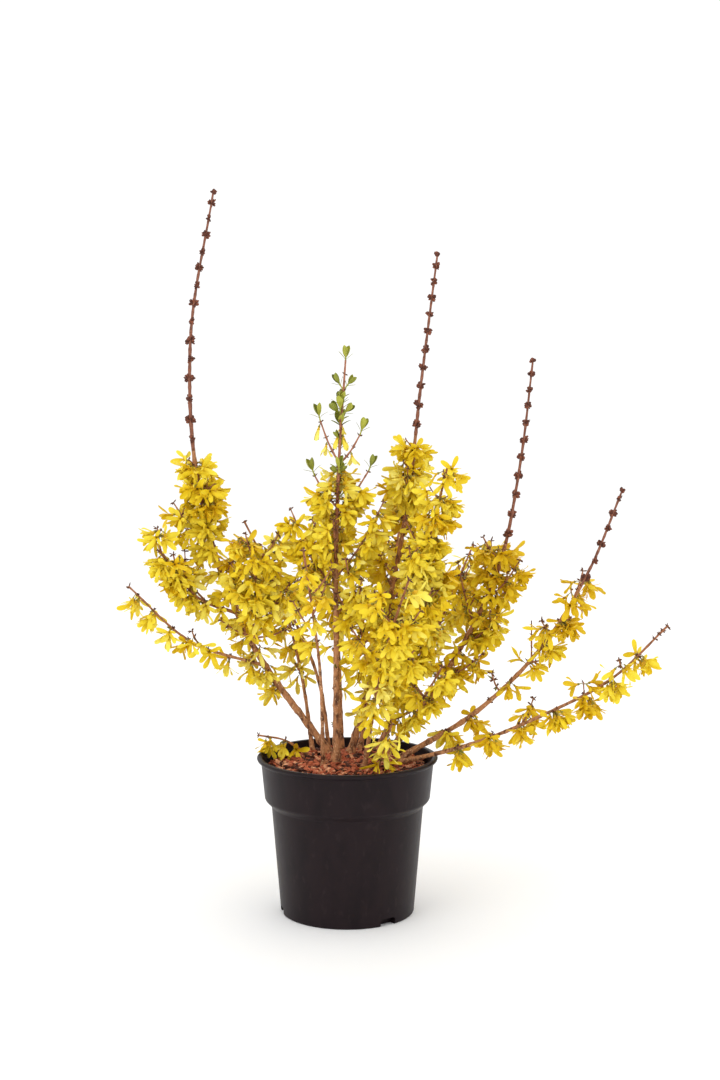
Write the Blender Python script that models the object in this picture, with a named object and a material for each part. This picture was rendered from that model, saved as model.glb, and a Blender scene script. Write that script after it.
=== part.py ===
# A forsythia shrub in bloom, in its round nursery pot.
# Metres, +Z up. The origin is the middle of the pot's flat underside, -Y is the front.

import math

import bmesh
import bpy
import numpy as np
from mathutils.bvhtree import BVHTree

GAP = 0.0003
RIM_POINTS = 12
SLIDE_STEP = 0.0001
WELD = 0.0000012

# The pot: a five litre nursery container, each pair a radius and a height.
POT_TURNS = 36
POT_FOOT = (0.0838, 0.0)
POT_FOOT_ROUND = (0.0850, 0.0016)
POT_WAIST = (0.0965, 0.1375)
POT_SHOULDER = (0.0985, 0.1400)
POT_BAND_FOOT = (0.1036, 0.1450)
POT_BAND_EDGE = (0.1050, 0.1475)
POT_BAND_TOP = (0.1095, 0.1930)
POT_LIP_UNDER = (0.1140, 0.1958)
POT_LIP_OUT = (0.1150, 0.1985)
POT_LIP_TOP = (0.1135, 0.2000)
POT_MOUTH = (0.1082, 0.2000)
POT_WALL = 0.0020
POT_FLOOR = 0.0100
NOTCH_WIDTH = 0.0185
NOTCH_HEIGHT = 0.0080
NOTCH_DEPTH = 0.0130
NOTCH_BEARINGS = (-53.0, 67.0, 187.0)

# The bark mulch: flat where the stems stand, then down to the wall.
MULCH_TOP = 0.1940
MULCH_FLAT = 0.0800
MULCH_EDGE = 0.1840
GROUND = MULCH_TOP + GAP

# Wood.
FLARE = 0.45
FLARE_LENGTH = 0.014
STEM_SIDES = 6
BLOSSOM_STEM_SIDES = 5
STEM_STEP = 0.045
TWIG_SIDES = 3
TWIG_ROOT = 0.0015
TWIG_TIP = 0.0009
TWIG_STEP = 0.035
TWIG_LIFT = 0.35
JOINT_SPACING = 0.0270
TWIG_JOINT_SPACING = 0.0340

# Blossom: a bell of four lobes, its root sunk in the wood.
FLOWER_SINK = 0.0006
FLOWER_THROAT = 0.0115
FLOWER_NOTCH = (0.0088, 0.0140)
FLOWER_TIP = (0.0160, 0.0225)
FLOWER_DROOP = 0.80
FLOWER_UPRIGHT = 0.3
FLOWER_FORWARD = 0.25
FLOWER_TRIES = 4
BUD_LENGTH = 0.0105
BUD_WIDTH = 0.0068
LEAF_LENGTH = 0.0185
LEAF_WIDTH = 0.0088
LEAF_THICK = 0.0016
CLEARANCE = 0.0007

BARK_COLOUR = (0.235, 0.095, 0.045)
SHOOT_COLOUR = (0.190, 0.062, 0.030)
BLOSSOM_COLOUR = (0.830, 0.560, 0.020)
LEAF_COLOUR = (0.300, 0.390, 0.050)
POT_COLOUR = (0.022, 0.020, 0.021)
MULCH_COLOUR = (0.300, 0.115, 0.055)

# Each cane runs through these points and has a radius at its foot and at its tip.
# Blossom covers the share of its length between bloom's two numbers, above that it is a bare shoot.
# A cane has two flowers at a joint, or as many as crowd says.
CANES = {
    "left": dict(
        route=[(-0.022, 0.032), (-0.128, 0.046, 0.346), (-0.189, 0.050, 0.530), (-0.199, 0.044, 0.723),
               (-0.167, 0.030, 0.911)],
        radius=(0.0058, 0.0013), bloom=(0.30, 0.57), crowd=3),
    "back_left": dict(
        route=[(-0.024, 0.056), (-0.036, 0.072, 0.275), (-0.065, 0.092, 0.349), (-0.138, 0.130, 0.488)],
        radius=(0.0030, 0.0013), bloom=(0.36, 1.0)),
    "centre": dict(
        route=[(-0.014, -0.003), (-0.014, -0.002, 0.323), (-0.014, 0.000, 0.452), (-0.010, 0.004, 0.581),
               (-0.002, 0.010, 0.700)],
        radius=(0.0056, 0.0012), bloom=(0.36, 0.615)),
    "mid": dict(
        route=[(0.004, 0.045), (0.045, 0.048, 0.351), (0.076, 0.050, 0.511), (0.094, 0.051, 0.672),
               (0.114, 0.050, 0.834)],
        radius=(0.0052, 0.0013), bloom=(0.24, 0.645), crowd=3),
    "second": dict(
        route=[(0.042, 0.026), (0.066, 0.005, 0.298), (0.083, -0.018, 0.390), (0.123, -0.060, 0.573)],
        radius=(0.0042, 0.0013), bloom=(0.17, 1.0)),
    "tall_right": dict(
        route=[(0.054, 0.045), (0.135, 0.069, 0.306), (0.196, 0.080, 0.429), (0.223, 0.077, 0.564),
               (0.237, 0.060, 0.700)],
        radius=(0.0050, 0.0013), bloom=(0.15, 0.565)),
    "low_right": dict(
        route=[(0.064, 0.004), (0.164, 0.016, 0.253), (0.245, 0.020, 0.333), (0.304, 0.011, 0.432),
               (0.343, -0.010, 0.538)],
        radius=(0.0046, 0.0013), bloom=(0.11, 0.71)),
    "lowest_right": dict(
        route=[(0.066, -0.014), (0.158, -0.030, 0.222), (0.243, -0.049, 0.262), (0.324, -0.070, 0.311),
               (0.389, -0.090, 0.380)],
        radius=(0.0036, 0.0013), bloom=(0.12, 1.0), bare_tip=0.08),
    "front_left": dict(
        route=[(-0.030, -0.030), (-0.032, -0.085, 0.315), (-0.040, -0.130, 0.400), (-0.050, -0.165, 0.480)],
        radius=(0.0030, 0.0012), bloom=(0.52, 1.0)),
    "front_right": dict(
        route=[(0.022, -0.034), (0.036, -0.090, 0.300), (0.050, -0.140, 0.370), (0.072, -0.205, 0.450)],
        radius=(0.0036, 0.0012), bloom=(0.20, 1.0)),
    "back_outer_left": dict(
        route=[(-0.046, 0.060), (-0.060, 0.098, 0.280), (-0.082, 0.145, 0.360), (-0.112, 0.205, 0.440)],
        radius=(0.0032, 0.0012), bloom=(0.42, 1.0)),
    "back_centre": dict(
        route=[(-0.008, 0.068), (-0.012, 0.110, 0.310), (-0.020, 0.160, 0.410), (-0.032, 0.220, 0.500)],
        radius=(0.0036, 0.0012), bloom=(0.42, 1.0)),
    "back_mid": dict(
        route=[(0.016, 0.066), (0.038, 0.112, 0.320), (0.062, 0.165, 0.430), (0.082, 0.215, 0.550)],
        radius=(0.0040, 0.0012), bloom=(0.32, 1.0)),
    "back_right": dict(
        route=[(0.038, 0.062), (0.086, 0.110, 0.290), (0.128, 0.150, 0.360), (0.172, 0.205, 0.450)],
        radius=(0.0034, 0.0012), bloom=(0.36, 1.0)),
}

# Branches that leave a cane's bare foot, and short sprigs that stand in the mulch: blossom all along.
BRANCHES = {
    "left_outer": dict(parent="left", share=0.285, route=[(-0.192, 0.026, 0.400), (-0.236, -0.008, 0.463)],
                       radius=(0.0024, 0.0012)),
    "left_inner": dict(parent="left", share=0.225, route=[(-0.114, -0.004, 0.389), (-0.118, -0.030, 0.470)],
                       radius=(0.0026, 0.0012)),
    "left_low": dict(parent="left", share=0.185, route=[(-0.199, 0.010, 0.345), (-0.273, -0.020, 0.419)],
                     radius=(0.0026, 0.0012)),
    "second_low": dict(parent="second", share=0.12, route=[(0.088, -0.020, 0.268), (0.118, -0.046, 0.322)],
                       radius=(0.0024, 0.0012)),
    "mid_inner": dict(parent="mid", share=0.150, route=[(0.018, 0.002, 0.355), (-0.002, -0.030, 0.455)],
                      radius=(0.0026, 0.0012)),
    "rim_sprig": dict(foot=(-0.052, 0.030), route=[(-0.080, 0.026, 0.214), (-0.114, 0.020, 0.222)],
                      radius=(0.0018, 0.0011)),
    "front_sprig": dict(foot=(0.0390, -0.0450), route=[(0.046, -0.064, 0.226), (0.055, -0.084, 0.258)],
                        radius=(0.0018, 0.0011)),
}

# Side twigs that the mass of that name carries: share of the cane, bearing, rise and length.
# The bearing counts from +X towards +Y, and a bare twig carries only an end bud.
TWIGS = {
    "left": [(0.395, 180, 45, 0.078), (0.455, 285, 70, 0.045), (0.350, 20, 60, 0.050), (0.49, 80, 55, 0.040)],
    "left_outer": [(0.30, 190, 50, 0.050), (0.55, 100, 45, 0.050), (0.62, 250, 50, 0.040)],
    "left_inner": [(0.10, 345, 12, 0.050), (0.12, 200, 20, 0.045), (0.25, 160, 45, 0.055),
                   (0.35, 340, 40, 0.060), (0.55, 180, 50, 0.050), (0.62, 20, 45, 0.045)],
    "left_low": [(0.42, 250, 35, 0.030)],
    "second_low": [(0.40, 330, 25, 0.035), (0.60, 150, 40, 0.040)],
    "back_left": [(0.58, 330, 60, 0.060), (0.66, 160, 45, 0.050), (0.80, 60, 50, 0.045)],
    "centre": [(0.42, 192, 58, 0.098), (0.46, 338, 52, 0.097), (0.52, 90, 50, 0.070), (0.50, 265, 55, 0.060)],
    "mid": [(0.36, 200, 55, 0.060), (0.40, 340, 45, 0.055), (0.46, 90, 45, 0.070), (0.50, 270, 50, 0.060),
            (0.34, 120, 40, 0.080)],
    "mid_inner": [(0.35, 340, 45, 0.055), (0.50, 190, 50, 0.045), (0.62, 280, 45, 0.050)],
    "second": [(0.32, 350, 45, 0.070), (0.40, 190, 50, 0.060), (0.52, 10, 50, 0.060), (0.60, 250, 45, 0.060),
               (0.70, 170, 55, 0.045), (0.45, 300, 40, 0.070)],
    "tall_right": [(0.215, 345, 25, 0.057), (0.30, 345, 35, 0.060), (0.42, 325, 42, 0.072),
                   (0.36, 120, 60, 0.080), (0.47, 90, 45, 0.060), (0.52, 172, 50, 0.034)],
    "low_right": [(0.34, 250, 30, 0.045), (0.66, 60, 40, 0.045), (0.56, 240, 20, 0.035)],
    "lowest_right": [(0.42, 60, 30, 0.040), (0.80, 250, 20, 0.030)],
    "front_left": [(0.62, 150, 45, 0.045), (0.72, 300, 45, 0.045), (0.80, 20, 45, 0.035)],
    "front_right": [(0.40, 350, 40, 0.060), (0.52, 200, 45, 0.055), (0.62, 330, 40, 0.060),
                    (0.74, 230, 45, 0.050)],
    "back_outer_left": [(0.55, 170, 40, 0.060), (0.68, 60, 45, 0.055), (0.78, 190, 45, 0.045)],
    "back_centre": [(0.52, 40, 45, 0.055), (0.62, 150, 45, 0.060), (0.74, 80, 45, 0.050),
                    (0.82, 200, 50, 0.040)],
    "back_mid": [(0.42, 150, 45, 0.060), (0.50, 30, 40, 0.070), (0.64, 100, 45, 0.060)],
    "back_right": [(0.50, 100, 40, 0.060), (0.60, 330, 35, 0.060), (0.72, 40, 45, 0.050)],
}
BARE_TWIGS = {"low_right": [(0.465, 90, 84, 0.048), (0.455, 10, 2, 0.022)]}
LEAFY_TWIGS = [(0.635, 180, 62, 0.066), (0.645, 10, 56, 0.080), (0.715, 175, 62, 0.070), (0.73, 5, 55, 0.064),
               (0.80, 90, 60, 0.045), (0.82, 270, 60, 0.045)]


def unit(vector):
    return vector / np.linalg.norm(vector)


def bearing_vector(bearing, rise):
    flat = math.cos(math.radians(rise))
    turn = math.radians(bearing)
    return np.array((flat * math.cos(turn), flat * math.sin(turn), math.sin(math.radians(rise))))


class Route:
    """A smooth line through points, read by its share of the length."""

    def __init__(self, points):
        points = np.array(points, float)
        ends = np.vstack((2 * points[0] - points[1], points, 2 * points[-1] - points[-2]))
        t = np.linspace(0, 1, 40, endpoint=False)[:, None]
        pieces = []
        for a, b, c, d in zip(ends, ends[1:], ends[2:], ends[3:]):
            pieces.append(0.5 * (2 * b + (c - a) * t + (2 * a - 5 * b + 4 * c - d) * t**2
                                 + (3 * b - a - 3 * c + d) * t**3))
        self.line = np.vstack(pieces + [points[-1:]])
        steps = np.linalg.norm(np.diff(self.line, axis=0), axis=1)
        self.length = steps.sum()
        self.shares = np.concatenate(((0,), np.cumsum(steps))) / self.length

    def at(self, share):
        return np.stack([np.interp(share, self.shares, self.line[:, k]) for k in range(3)], axis=-1)

    def along(self, share):
        return unit(self.at(min(share + 0.02, 1.0)) - self.at(max(share - 0.02, 0.0)))


def across(axis, angle):
    """The unit vector square to axis at this angle, counted from the side nearest to straight up."""
    up = np.array((0.0, 0.0, 1.0)) if abs(axis[2]) < 0.96 else np.array((0.0, 1.0, 0.0))
    first = unit(up - axis * axis.dot(up))
    return first * math.cos(angle) + np.cross(axis, first) * math.sin(angle)


def tube(points, axes, radii, sides, flat_foot=False):
    """A closed tube along points, square to the axes. A flat foot is cut level at the first point."""
    side = across(axes[0], 0.0)
    vertices = []
    for centre, axis, radius in zip(points, axes, radii):
        side = unit(side - axis * axis.dot(side))
        other = np.cross(axis, side)
        for k in range(sides):
            turn = 2 * math.pi * k / sides
            vertices.append(centre + radius * (side * math.cos(turn) + other * math.sin(turn)))
    if flat_foot:
        for k in range(sides):
            vertices[k] = vertices[k] - axes[0] * (vertices[k][2] - points[0][2]) / axes[0][2]
    faces = [tuple(reversed(range(sides)))]
    for ring in range(len(points) - 1):
        for k in range(sides):
            a = ring * sides + k
            b = ring * sides + (k + 1) % sides
            faces.append((a, b, b + sides, a + sides))
    faces.append(tuple(range((len(points) - 1) * sides, len(points) * sides)))
    return np.array(vertices), faces


def spindle(root, direction, side, length, width, thick, sides=4):
    """A leaf or a bud: two cones of faces on a ring round its middle."""
    other = np.cross(direction, side)
    middle = root + direction * length * 0.5
    vertices = [root]
    for k in range(sides):
        turn = 2 * math.pi * k / sides
        vertices.append(middle + side * math.cos(turn) * width / 2 + other * math.sin(turn) * thick / 2)
    vertices.append(root + direction * length)
    faces = []
    for k in range(sides):
        a, b = 1 + k, 1 + (k + 1) % sides
        faces += [(0, b, a), (sides + 1, a, b)]
    return np.array(vertices), faces


def flower(root, direction, spin, size):
    """A nodding bell: four lobes round a throat, on a root that is sunk in the wood."""
    side = across(direction, spin)
    other = np.cross(direction, side)
    vertices = [root - direction * FLOWER_SINK, root + direction * FLOWER_THROAT * size]
    for k in range(8):
        out, ahead = FLOWER_TIP if k % 2 == 0 else FLOWER_NOTCH
        turn = k * math.pi / 4
        spoke = side * math.cos(turn) + other * math.sin(turn)
        vertices.append(root + size * (spoke * out + direction * ahead))
    faces = []
    for tip in range(2, 10, 2):
        before = tip - 1 if tip > 2 else 9
        after = tip + 1
        faces += [(0, after, before), (before, after, tip), (1, before, tip), (1, tip, after)]
    return np.array(vertices), faces


def radius_at(radius, share, length):
    foot, tip = radius
    flare = foot * FLARE * math.exp(-share * length / FLARE_LENGTH)
    return tip + (foot - tip) * (1 - share) ** 1.15 + flare


def tube_between(route, radius, start, end, sides, step, flat_foot=False):
    """The stretch of a cane between two shares of its length."""
    count = max(2, 1 + round((end - start) * route.length / step))
    shares = np.linspace(start, end, count)
    if flat_foot:
        shares = np.insert(shares, 1, FLARE_LENGTH / route.length)
    radii = [radius_at(radius, share, route.length) for share in shares]
    axes = [route.along(share) for share in shares]
    return tube(route.at(shares), axes, radii, sides, flat_foot)


def twig_route(start, bearing, rise, length):
    """A twig leaves at its bearing and rise and bends upwards."""
    first = bearing_vector(bearing, rise)
    middle = start + first * length * 0.5
    tip = middle + unit(first + np.array((0, 0, TWIG_LIFT))) * length * 0.5
    return Route([start, middle, tip])


class Mass:
    """One cloud of blossom, buds or leaves: closed pieces that are fused to their stem."""

    def __init__(self, name, obstacles, seed):
        self.name = name
        self.obstacles = obstacles
        self.random = np.random.default_rng(seed)
        self.pieces = []
        self.trees = []

    def add(self, piece, carrier=None, sunk=1):
        """Adds a piece that touches only its carrier, and that only at its first, sunk vertices."""
        vertices, faces = piece
        middle = vertices.mean(axis=0)
        rays = vertices - middle
        grown = (vertices + CLEARANCE * rays / np.linalg.norm(rays, axis=1)[:, None]).tolist()
        if carrier is not None:
            others = [tree for k, tree in enumerate(self.trees) if k != carrier]
            whole = BVHTree.FromPolygons(grown, faces)
            head = BVHTree.FromPolygons(grown, [face for face in faces if min(face) >= sunk])
            blocked = any(whole.overlap(tree) for tree in self.obstacles + others)
            if blocked or head.overlap(self.trees[carrier]):
                return False
        self.pieces.append(piece)
        self.trees.append(BVHTree.FromPolygons(vertices.tolist(), faces))
        return True

    def flowers_along(self, route, start, end, radius, count, carrier):
        """Flowers at each joint between two shares of a route, each joint turned a quarter from the last."""
        spacing = TWIG_JOINT_SPACING if carrier else JOINT_SPACING
        joints = max(1, round((end - start) * route.length / spacing))
        turn = self.random.uniform(0, math.pi)
        for joint in range(joints):
            share = start + (end - start) * (joint + 0.6) / joints
            axis = route.along(share)
            for k in range(count):
                for attempt in range(FLOWER_TRIES):
                    spread = 0.25 + 0.3 * attempt
                    angle = turn + 2 * math.pi * k / count + self.random.uniform(-spread, spread)
                    outward = across(axis, angle)
                    down = np.array((0, 0, -FLOWER_DROOP - self.random.uniform(0, 0.35)))
                    down[2] -= max(0.0, outward[2]) * (1 - FLOWER_UPRIGHT)
                    direction = unit(outward + FLOWER_FORWARD * axis + down)
                    size = self.random.uniform(0.92, 1.12)
                    root = route.at(share) + outward * radius * 0.5
                    if self.add(flower(root, direction, self.random.uniform(0, math.pi / 2), size), carrier):
                        break
            turn += math.pi / 2

    def buds_along(self, route, start, end, radius):
        """Shrivelled bud clusters in opposite pairs, closer together towards the tip."""
        share = start + 0.5 * JOINT_SPACING / route.length
        turn = self.random.uniform(0, 0.6)
        while share < end - 0.01:
            axis = route.along(share)
            size = 1.15 - 0.45 * share
            for angle in (turn, turn + math.pi):
                outward = across(axis, angle)
                root = route.at(share) + outward * radius * 0.5
                direction = unit(outward + 0.35 * axis)
                width = BUD_WIDTH * size
                self.add(spindle(root, direction, axis, BUD_LENGTH * size, width, width, sides=3), 0)
            share += JOINT_SPACING * (1.4 - 0.7 * share) / route.length
            turn += math.pi / 2

    def leaves_at(self, place, axis, radius, count, size, carrier):
        """Young leaves that stand up round a bud."""
        turn = self.random.uniform(0, math.pi)
        for k in range(count):
            outward = across(axis, turn + 2 * math.pi * k / count)
            direction = unit(axis + outward * self.random.uniform(0.55, 0.8))
            side = across(direction, self.random.uniform(-0.2, 0.2))
            root = place + outward * radius * 0.5 - axis * 0.0006
            leaf = spindle(root, direction, side, LEAF_LENGTH * size, LEAF_WIDTH * size, LEAF_THICK)
            self.add(leaf, carrier)

    def add_twig(self, route):
        """A thin side twig on the stem: its number among the pieces, or None where it has no room."""
        shape = tube_between(route, (TWIG_ROOT, TWIG_TIP), 0, 1, TWIG_SIDES, TWIG_STEP)
        return len(self.pieces) - 1 if self.add(shape, 0, sunk=TWIG_SIDES) else None

    def build(self, material):
        """Joins the pieces in one Boolean union and keeps the one body that holds the stem."""
        base = mesh_object(self.name, *self.pieces[0], material)
        group = bpy.data.collections.new(self.name + " pieces")
        bpy.context.scene.collection.children.link(group)
        for k, piece in enumerate(self.pieces[1:]):
            other = mesh_object(f"{self.name} piece {k}", *piece, material)
            bpy.context.scene.collection.objects.unlink(other)
            group.objects.link(other)
        union = base.modifiers.new("union", "BOOLEAN")
        union.operation = "UNION"
        union.operand_type = "COLLECTION"
        union.collection = group
        union.solver = "MANIFOLD"
        apply_modifiers(base)
        for other in list(group.objects):
            bpy.data.objects.remove(other, do_unlink=True)
        bpy.data.collections.remove(group)
        keep_largest_body(base)
        return base


def mesh_object(name, vertices, faces, material):
    mesh = bpy.data.meshes.new(name)
    mesh.from_pydata([tuple(v) for v in vertices], [], faces)
    mesh.materials.append(material)
    obj = bpy.data.objects.new(name, mesh)
    bpy.context.scene.collection.objects.link(obj)
    return obj


def apply_modifiers(obj):
    bpy.context.view_layer.update()
    graph = bpy.context.evaluated_depsgraph_get()
    mesh = bpy.data.meshes.new_from_object(obj.evaluated_get(graph))
    obj.modifiers.clear()
    old = obj.data
    obj.data = mesh
    bpy.data.meshes.remove(old)
    mesh.name = obj.name


def keep_largest_body(obj):
    """Closes edges shorter than WELD, then drops loose scraps and the walls of sealed hollows."""
    shape = bmesh.new()
    shape.from_mesh(obj.data)
    bmesh.ops.triangulate(shape, faces=shape.faces)
    bmesh.ops.dissolve_degenerate(shape, dist=WELD, edges=shape.edges)
    unseen = set(shape.faces)
    bodies = []
    while unseen:
        front = [unseen.pop()]
        body = set(front)
        while front:
            face = front.pop()
            for edge in face.edges:
                for neighbour in edge.link_faces:
                    if neighbour in unseen:
                        unseen.remove(neighbour)
                        body.add(neighbour)
                        front.append(neighbour)
        bodies.append(body)
    bodies.sort(key=len)
    scraps = [vertex for body in bodies[:-1] for face in body for vertex in face.verts]
    bmesh.ops.delete(shape, geom=list(set(scraps)), context="VERTS")
    shape.to_mesh(obj.data)
    shape.free()


def material_of(name, colour, roughness):
    material = bpy.data.materials.new(name)
    material.use_nodes = True
    shader = material.node_tree.nodes["Principled BSDF"]
    shader.inputs["Base Color"].default_value = (*colour, 1.0)
    shader.inputs["Roughness"].default_value = roughness
    shader.inputs["Metallic"].default_value = 0.0
    return material


def turned(name, profile, turns, material):
    """A closed solid of revolution. The profile runs from the bottom of the axis round to its top."""
    shape = bmesh.new()
    corners = [shape.verts.new((radius, 0.0, height)) for radius, height in profile]
    edges = [shape.edges.new(pair) for pair in zip(corners, corners[1:])]
    bmesh.ops.spin(shape, geom=corners + edges, cent=(0, 0, 0), axis=(0, 0, 1), angle=2 * math.pi,
                   steps=turns, use_merge=True, use_duplicate=False)
    bmesh.ops.remove_doubles(shape, verts=shape.verts, dist=1e-6)
    bmesh.ops.recalc_face_normals(shape, faces=shape.faces)
    mesh = bpy.data.meshes.new(name)
    shape.to_mesh(mesh)
    shape.free()
    mesh.shade_smooth()
    mesh.set_sharp_from_angle(angle=math.radians(35))
    mesh.materials.append(material)
    obj = bpy.data.objects.new(name, mesh)
    bpy.context.scene.collection.objects.link(obj)
    return obj


def inner_radius(height):
    """The inside of the pot's wall, parallel to its outside."""
    heights = [POT_FOOT_ROUND[1], POT_WAIST[1], POT_BAND_TOP[1]]
    radii = [POT_FOOT_ROUND[0], POT_WAIST[0], POT_BAND_TOP[0]]
    return float(np.interp(height, heights, radii)) - POT_WALL


def make_pot():
    outside = [(0.0, 0.0), POT_FOOT, POT_FOOT_ROUND, POT_WAIST, POT_SHOULDER, POT_BAND_FOOT, POT_BAND_EDGE,
               POT_BAND_TOP, POT_LIP_UNDER, POT_LIP_OUT, POT_LIP_TOP, POT_MOUTH]
    inside = [(inner_radius(height), height) for height in (POT_BAND_TOP[1], POT_WAIST[1], POT_FLOOR)]
    plastic = material_of("pot plastic", POT_COLOUR, 0.45)
    pot = turned("pot", outside + inside + [(0.0, POT_FLOOR)], POT_TURNS, plastic)
    for k, bearing in enumerate(NOTCH_BEARINGS):
        bpy.ops.mesh.primitive_cube_add(size=1)
        cutter = bpy.context.object
        cutter.name = f"notch cutter {k}"
        middle = POT_FOOT_ROUND[0] + 0.006 - NOTCH_DEPTH / 2
        cutter.location = bearing_vector(bearing, 0) * middle
        cutter.rotation_euler.z = math.radians(bearing)
        cutter.scale = (NOTCH_DEPTH + 0.006, NOTCH_WIDTH, 2 * NOTCH_HEIGHT)
        cutter.hide_render = True
        cutter.display_type = "WIRE"
        cut = pot.modifiers.new(f"notch {k}", "BOOLEAN")
        cut.object = cutter
        cut.operation = "DIFFERENCE"
    return pot


def make_mulch():
    bottom = POT_FLOOR + GAP
    heights = (bottom, POT_WAIST[1], MULCH_EDGE)
    wall = [(inner_radius(height) - GAP, height) for height in heights]
    profile = [(0.0, bottom)] + wall + [(MULCH_FLAT, MULCH_TOP), (0.0, MULCH_TOP)]
    return turned("mulch", profile, POT_TURNS, material_of("bark mulch", MULCH_COLOUR, 0.9))


def tree_of(obj):
    bpy.context.view_layer.update()
    return BVHTree.FromObject(obj, bpy.context.evaluated_depsgraph_get())


def cane_route(name):
    foot, *rest = CANES[name]["route"]
    return Route([(*foot, GROUND)] + rest)


def branch_start(stem_tree, parent, share, towards, radius):
    """Where a branch's flat root, slid in along its direction, comes within the gap of its parent's side."""
    route = cane_route(parent)
    place = route.at(share)
    direction = unit(np.array(towards) - place)
    rim = [across(direction, 2 * math.pi * k / RIM_POINTS) * radius for k in range(RIM_POINTS)]
    reach = 5 * radius_at(CANES[parent]["radius"], share, route.length)
    while min(stem_tree.find_nearest(place + direction * reach + spoke)[3] for spoke in rim) > GAP:
        reach -= SLIDE_STEP
    return place + direction * (reach + SLIDE_STEP)


def grow_blossom(mass, route, radius, start, end):
    """The stem of a mass, its side twigs and the flowers along them all, but for a bare tip."""
    name = mass.name.removesuffix("_blossom")
    cane = CANES.get(name) or BRANCHES[name]
    bare_tip = cane.get("bare_tip", 0.0)
    mass.add(tube_between(route, radius, start, end, BLOSSOM_STEM_SIDES, STEM_STEP, "foot" in cane))
    twigs = []
    for share, bearing, rise, length in TWIGS.get(name, []):
        twig = twig_route(route.at(share), bearing, rise, length)
        number = mass.add_twig(twig)
        if number is not None:
            twigs.append((twig, number))
    for share, bearing, rise, length in BARE_TWIGS.get(name, []):
        twig = twig_route(route.at(share), bearing, rise, length)
        number = mass.add_twig(twig)
        axis = twig.along(1.0)
        mass.add(spindle(twig.at(1.0) - axis * 0.001, axis, across(axis, 0), 0.006, 0.0032, 0.0032), number)
    wood = radius_at(radius, (start + end) / 2, route.length)
    last = end - max(bare_tip, 0.004 / route.length)
    mass.flowers_along(route, start + 0.010 / route.length, last, wood, cane.get("crowd", 2), 0)
    if end == 1.0 and not bare_tip:
        twigs.append((route, 0))
    for twig, number in twigs:
        if number:
            mass.flowers_along(twig, 0.012 / twig.length, 0.9, TWIG_TIP, 2, number)
        axis = twig.along(1.0)
        mass.add(flower(twig.at(1.0) - axis * 0.001, unit(axis - np.array((0, 0, 0.5))), 0.2, 1.0), number)


def grow_shoot(mass, route, radius, start):
    """A bare shoot above the blossom, with its dark bud clusters."""
    mass.add(tube_between(route, radius, start, 1.0, 5, STEM_STEP))
    mass.buds_along(route, start + 0.004 / route.length, 1.0, radius[1])


def grow_leafy_tip(mass, route, radius, start):
    """The top of the middle stem: thin twigs that end in young leaves."""
    mass.add(tube_between(route, radius, start, 1.0, 5, STEM_STEP))
    twigs = [twig_route(route.at(share), *shape) for share, *shape in LEAFY_TWIGS]
    numbers = [mass.add_twig(twig) for twig in twigs]
    mass.leaves_at(route.at(1.0), route.along(1.0), radius[1], 3, 1.0, 0)
    for joint, share in enumerate(np.linspace(start + 0.06, 0.97, 6)):
        mass.leaves_at(route.at(share), route.along(share), radius[1], 2, 0.65 + 0.05 * joint, 0)
    for twig, number in zip(twigs, numbers):
        if number is not None:
            mass.leaves_at(twig.at(0.99), twig.along(0.98), TWIG_TIP, 3, 0.9, number)
            mass.leaves_at(twig.at(0.62), twig.along(0.62), TWIG_TIP, 2, 0.6, number)


def make_plant(pot, mulch):
    bark = material_of("bark", BARK_COLOUR, 0.8)
    shoot_bark = material_of("shoot bark", SHOOT_COLOUR, 0.7)
    petals = material_of("petals", BLOSSOM_COLOUR, 0.6)
    leaves = material_of("young leaves", LEAF_COLOUR, 0.6)
    trees = {"pot": tree_of(pot), "mulch": tree_of(mulch)}
    for name, cane in CANES.items():
        route = cane_route(name)
        end = cane["bloom"][0] - GAP / route.length
        shape = tube_between(route, cane["radius"], 0.0, end, STEM_SIDES, STEM_STEP, flat_foot=True)
        stem = mesh_object(name + "_stem", *shape, bark)
        stem.data.shade_smooth()
        trees[stem.name] = tree_of(stem)

    masses = []
    for name, cane in CANES.items():
        start, end = cane["bloom"]
        masses.append((name + "_blossom", cane_route(name), cane["radius"], start, end))
        if name == "centre":
            masses.append(("centre_leafy_tip", cane_route(name), cane["radius"], end, 1.0))
        elif end < 1.0:
            masses.append((name + "_shoot", cane_route(name), cane["radius"], end, 1.0))
    for name, branch in BRANCHES.items():
        if "parent" in branch:
            parent = branch["parent"]
            root_radius = branch["radius"][0] * (1 + FLARE)
            stem_tree = trees[parent + "_stem"]
            start = branch_start(stem_tree, parent, branch["share"], branch["route"][0], root_radius)
        else:
            start = (*branch["foot"], GROUND)
        masses.append((name + "_blossom", Route([start] + branch["route"]), branch["radius"], 0.0, 1.0))

    # Every mass keeps clear of all the others' stems, and of the masses that were grown before it.
    stems = {}
    for name, route, radius, start, end in masses:
        vertices, faces = tube_between(route, radius, start, end, BLOSSOM_STEM_SIDES, STEM_STEP)
        stems[name] = BVHTree.FromPolygons(vertices.tolist(), faces)
    for seed, (name, route, radius, start, end) in enumerate(masses):
        others = [tree for other, tree in stems.items() if other != name]
        mass = Mass(name, list(trees.values()) + others, seed)
        end -= GAP / route.length if end < 1.0 else 0.0
        if name.endswith("_shoot"):
            grow_shoot(mass, route, radius, start)
            material = shoot_bark
        elif name == "centre_leafy_tip":
            grow_leafy_tip(mass, route, radius, start)
            material = leaves
        else:
            grow_blossom(mass, route, radius, start, end)
            material = petals
        trees[name] = tree_of(mass.build(material))
        del stems[name]


for old in list(bpy.data.objects):
    bpy.data.objects.remove(old, do_unlink=True)
make_plant(make_pot(), make_mulch())
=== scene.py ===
# A forsythia in bloom in its round nursery pot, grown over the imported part. Metres, +Z up, the front towards
# -Y. Every limb follows the part's own rule and is carried on to finer twigs.
import math

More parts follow.
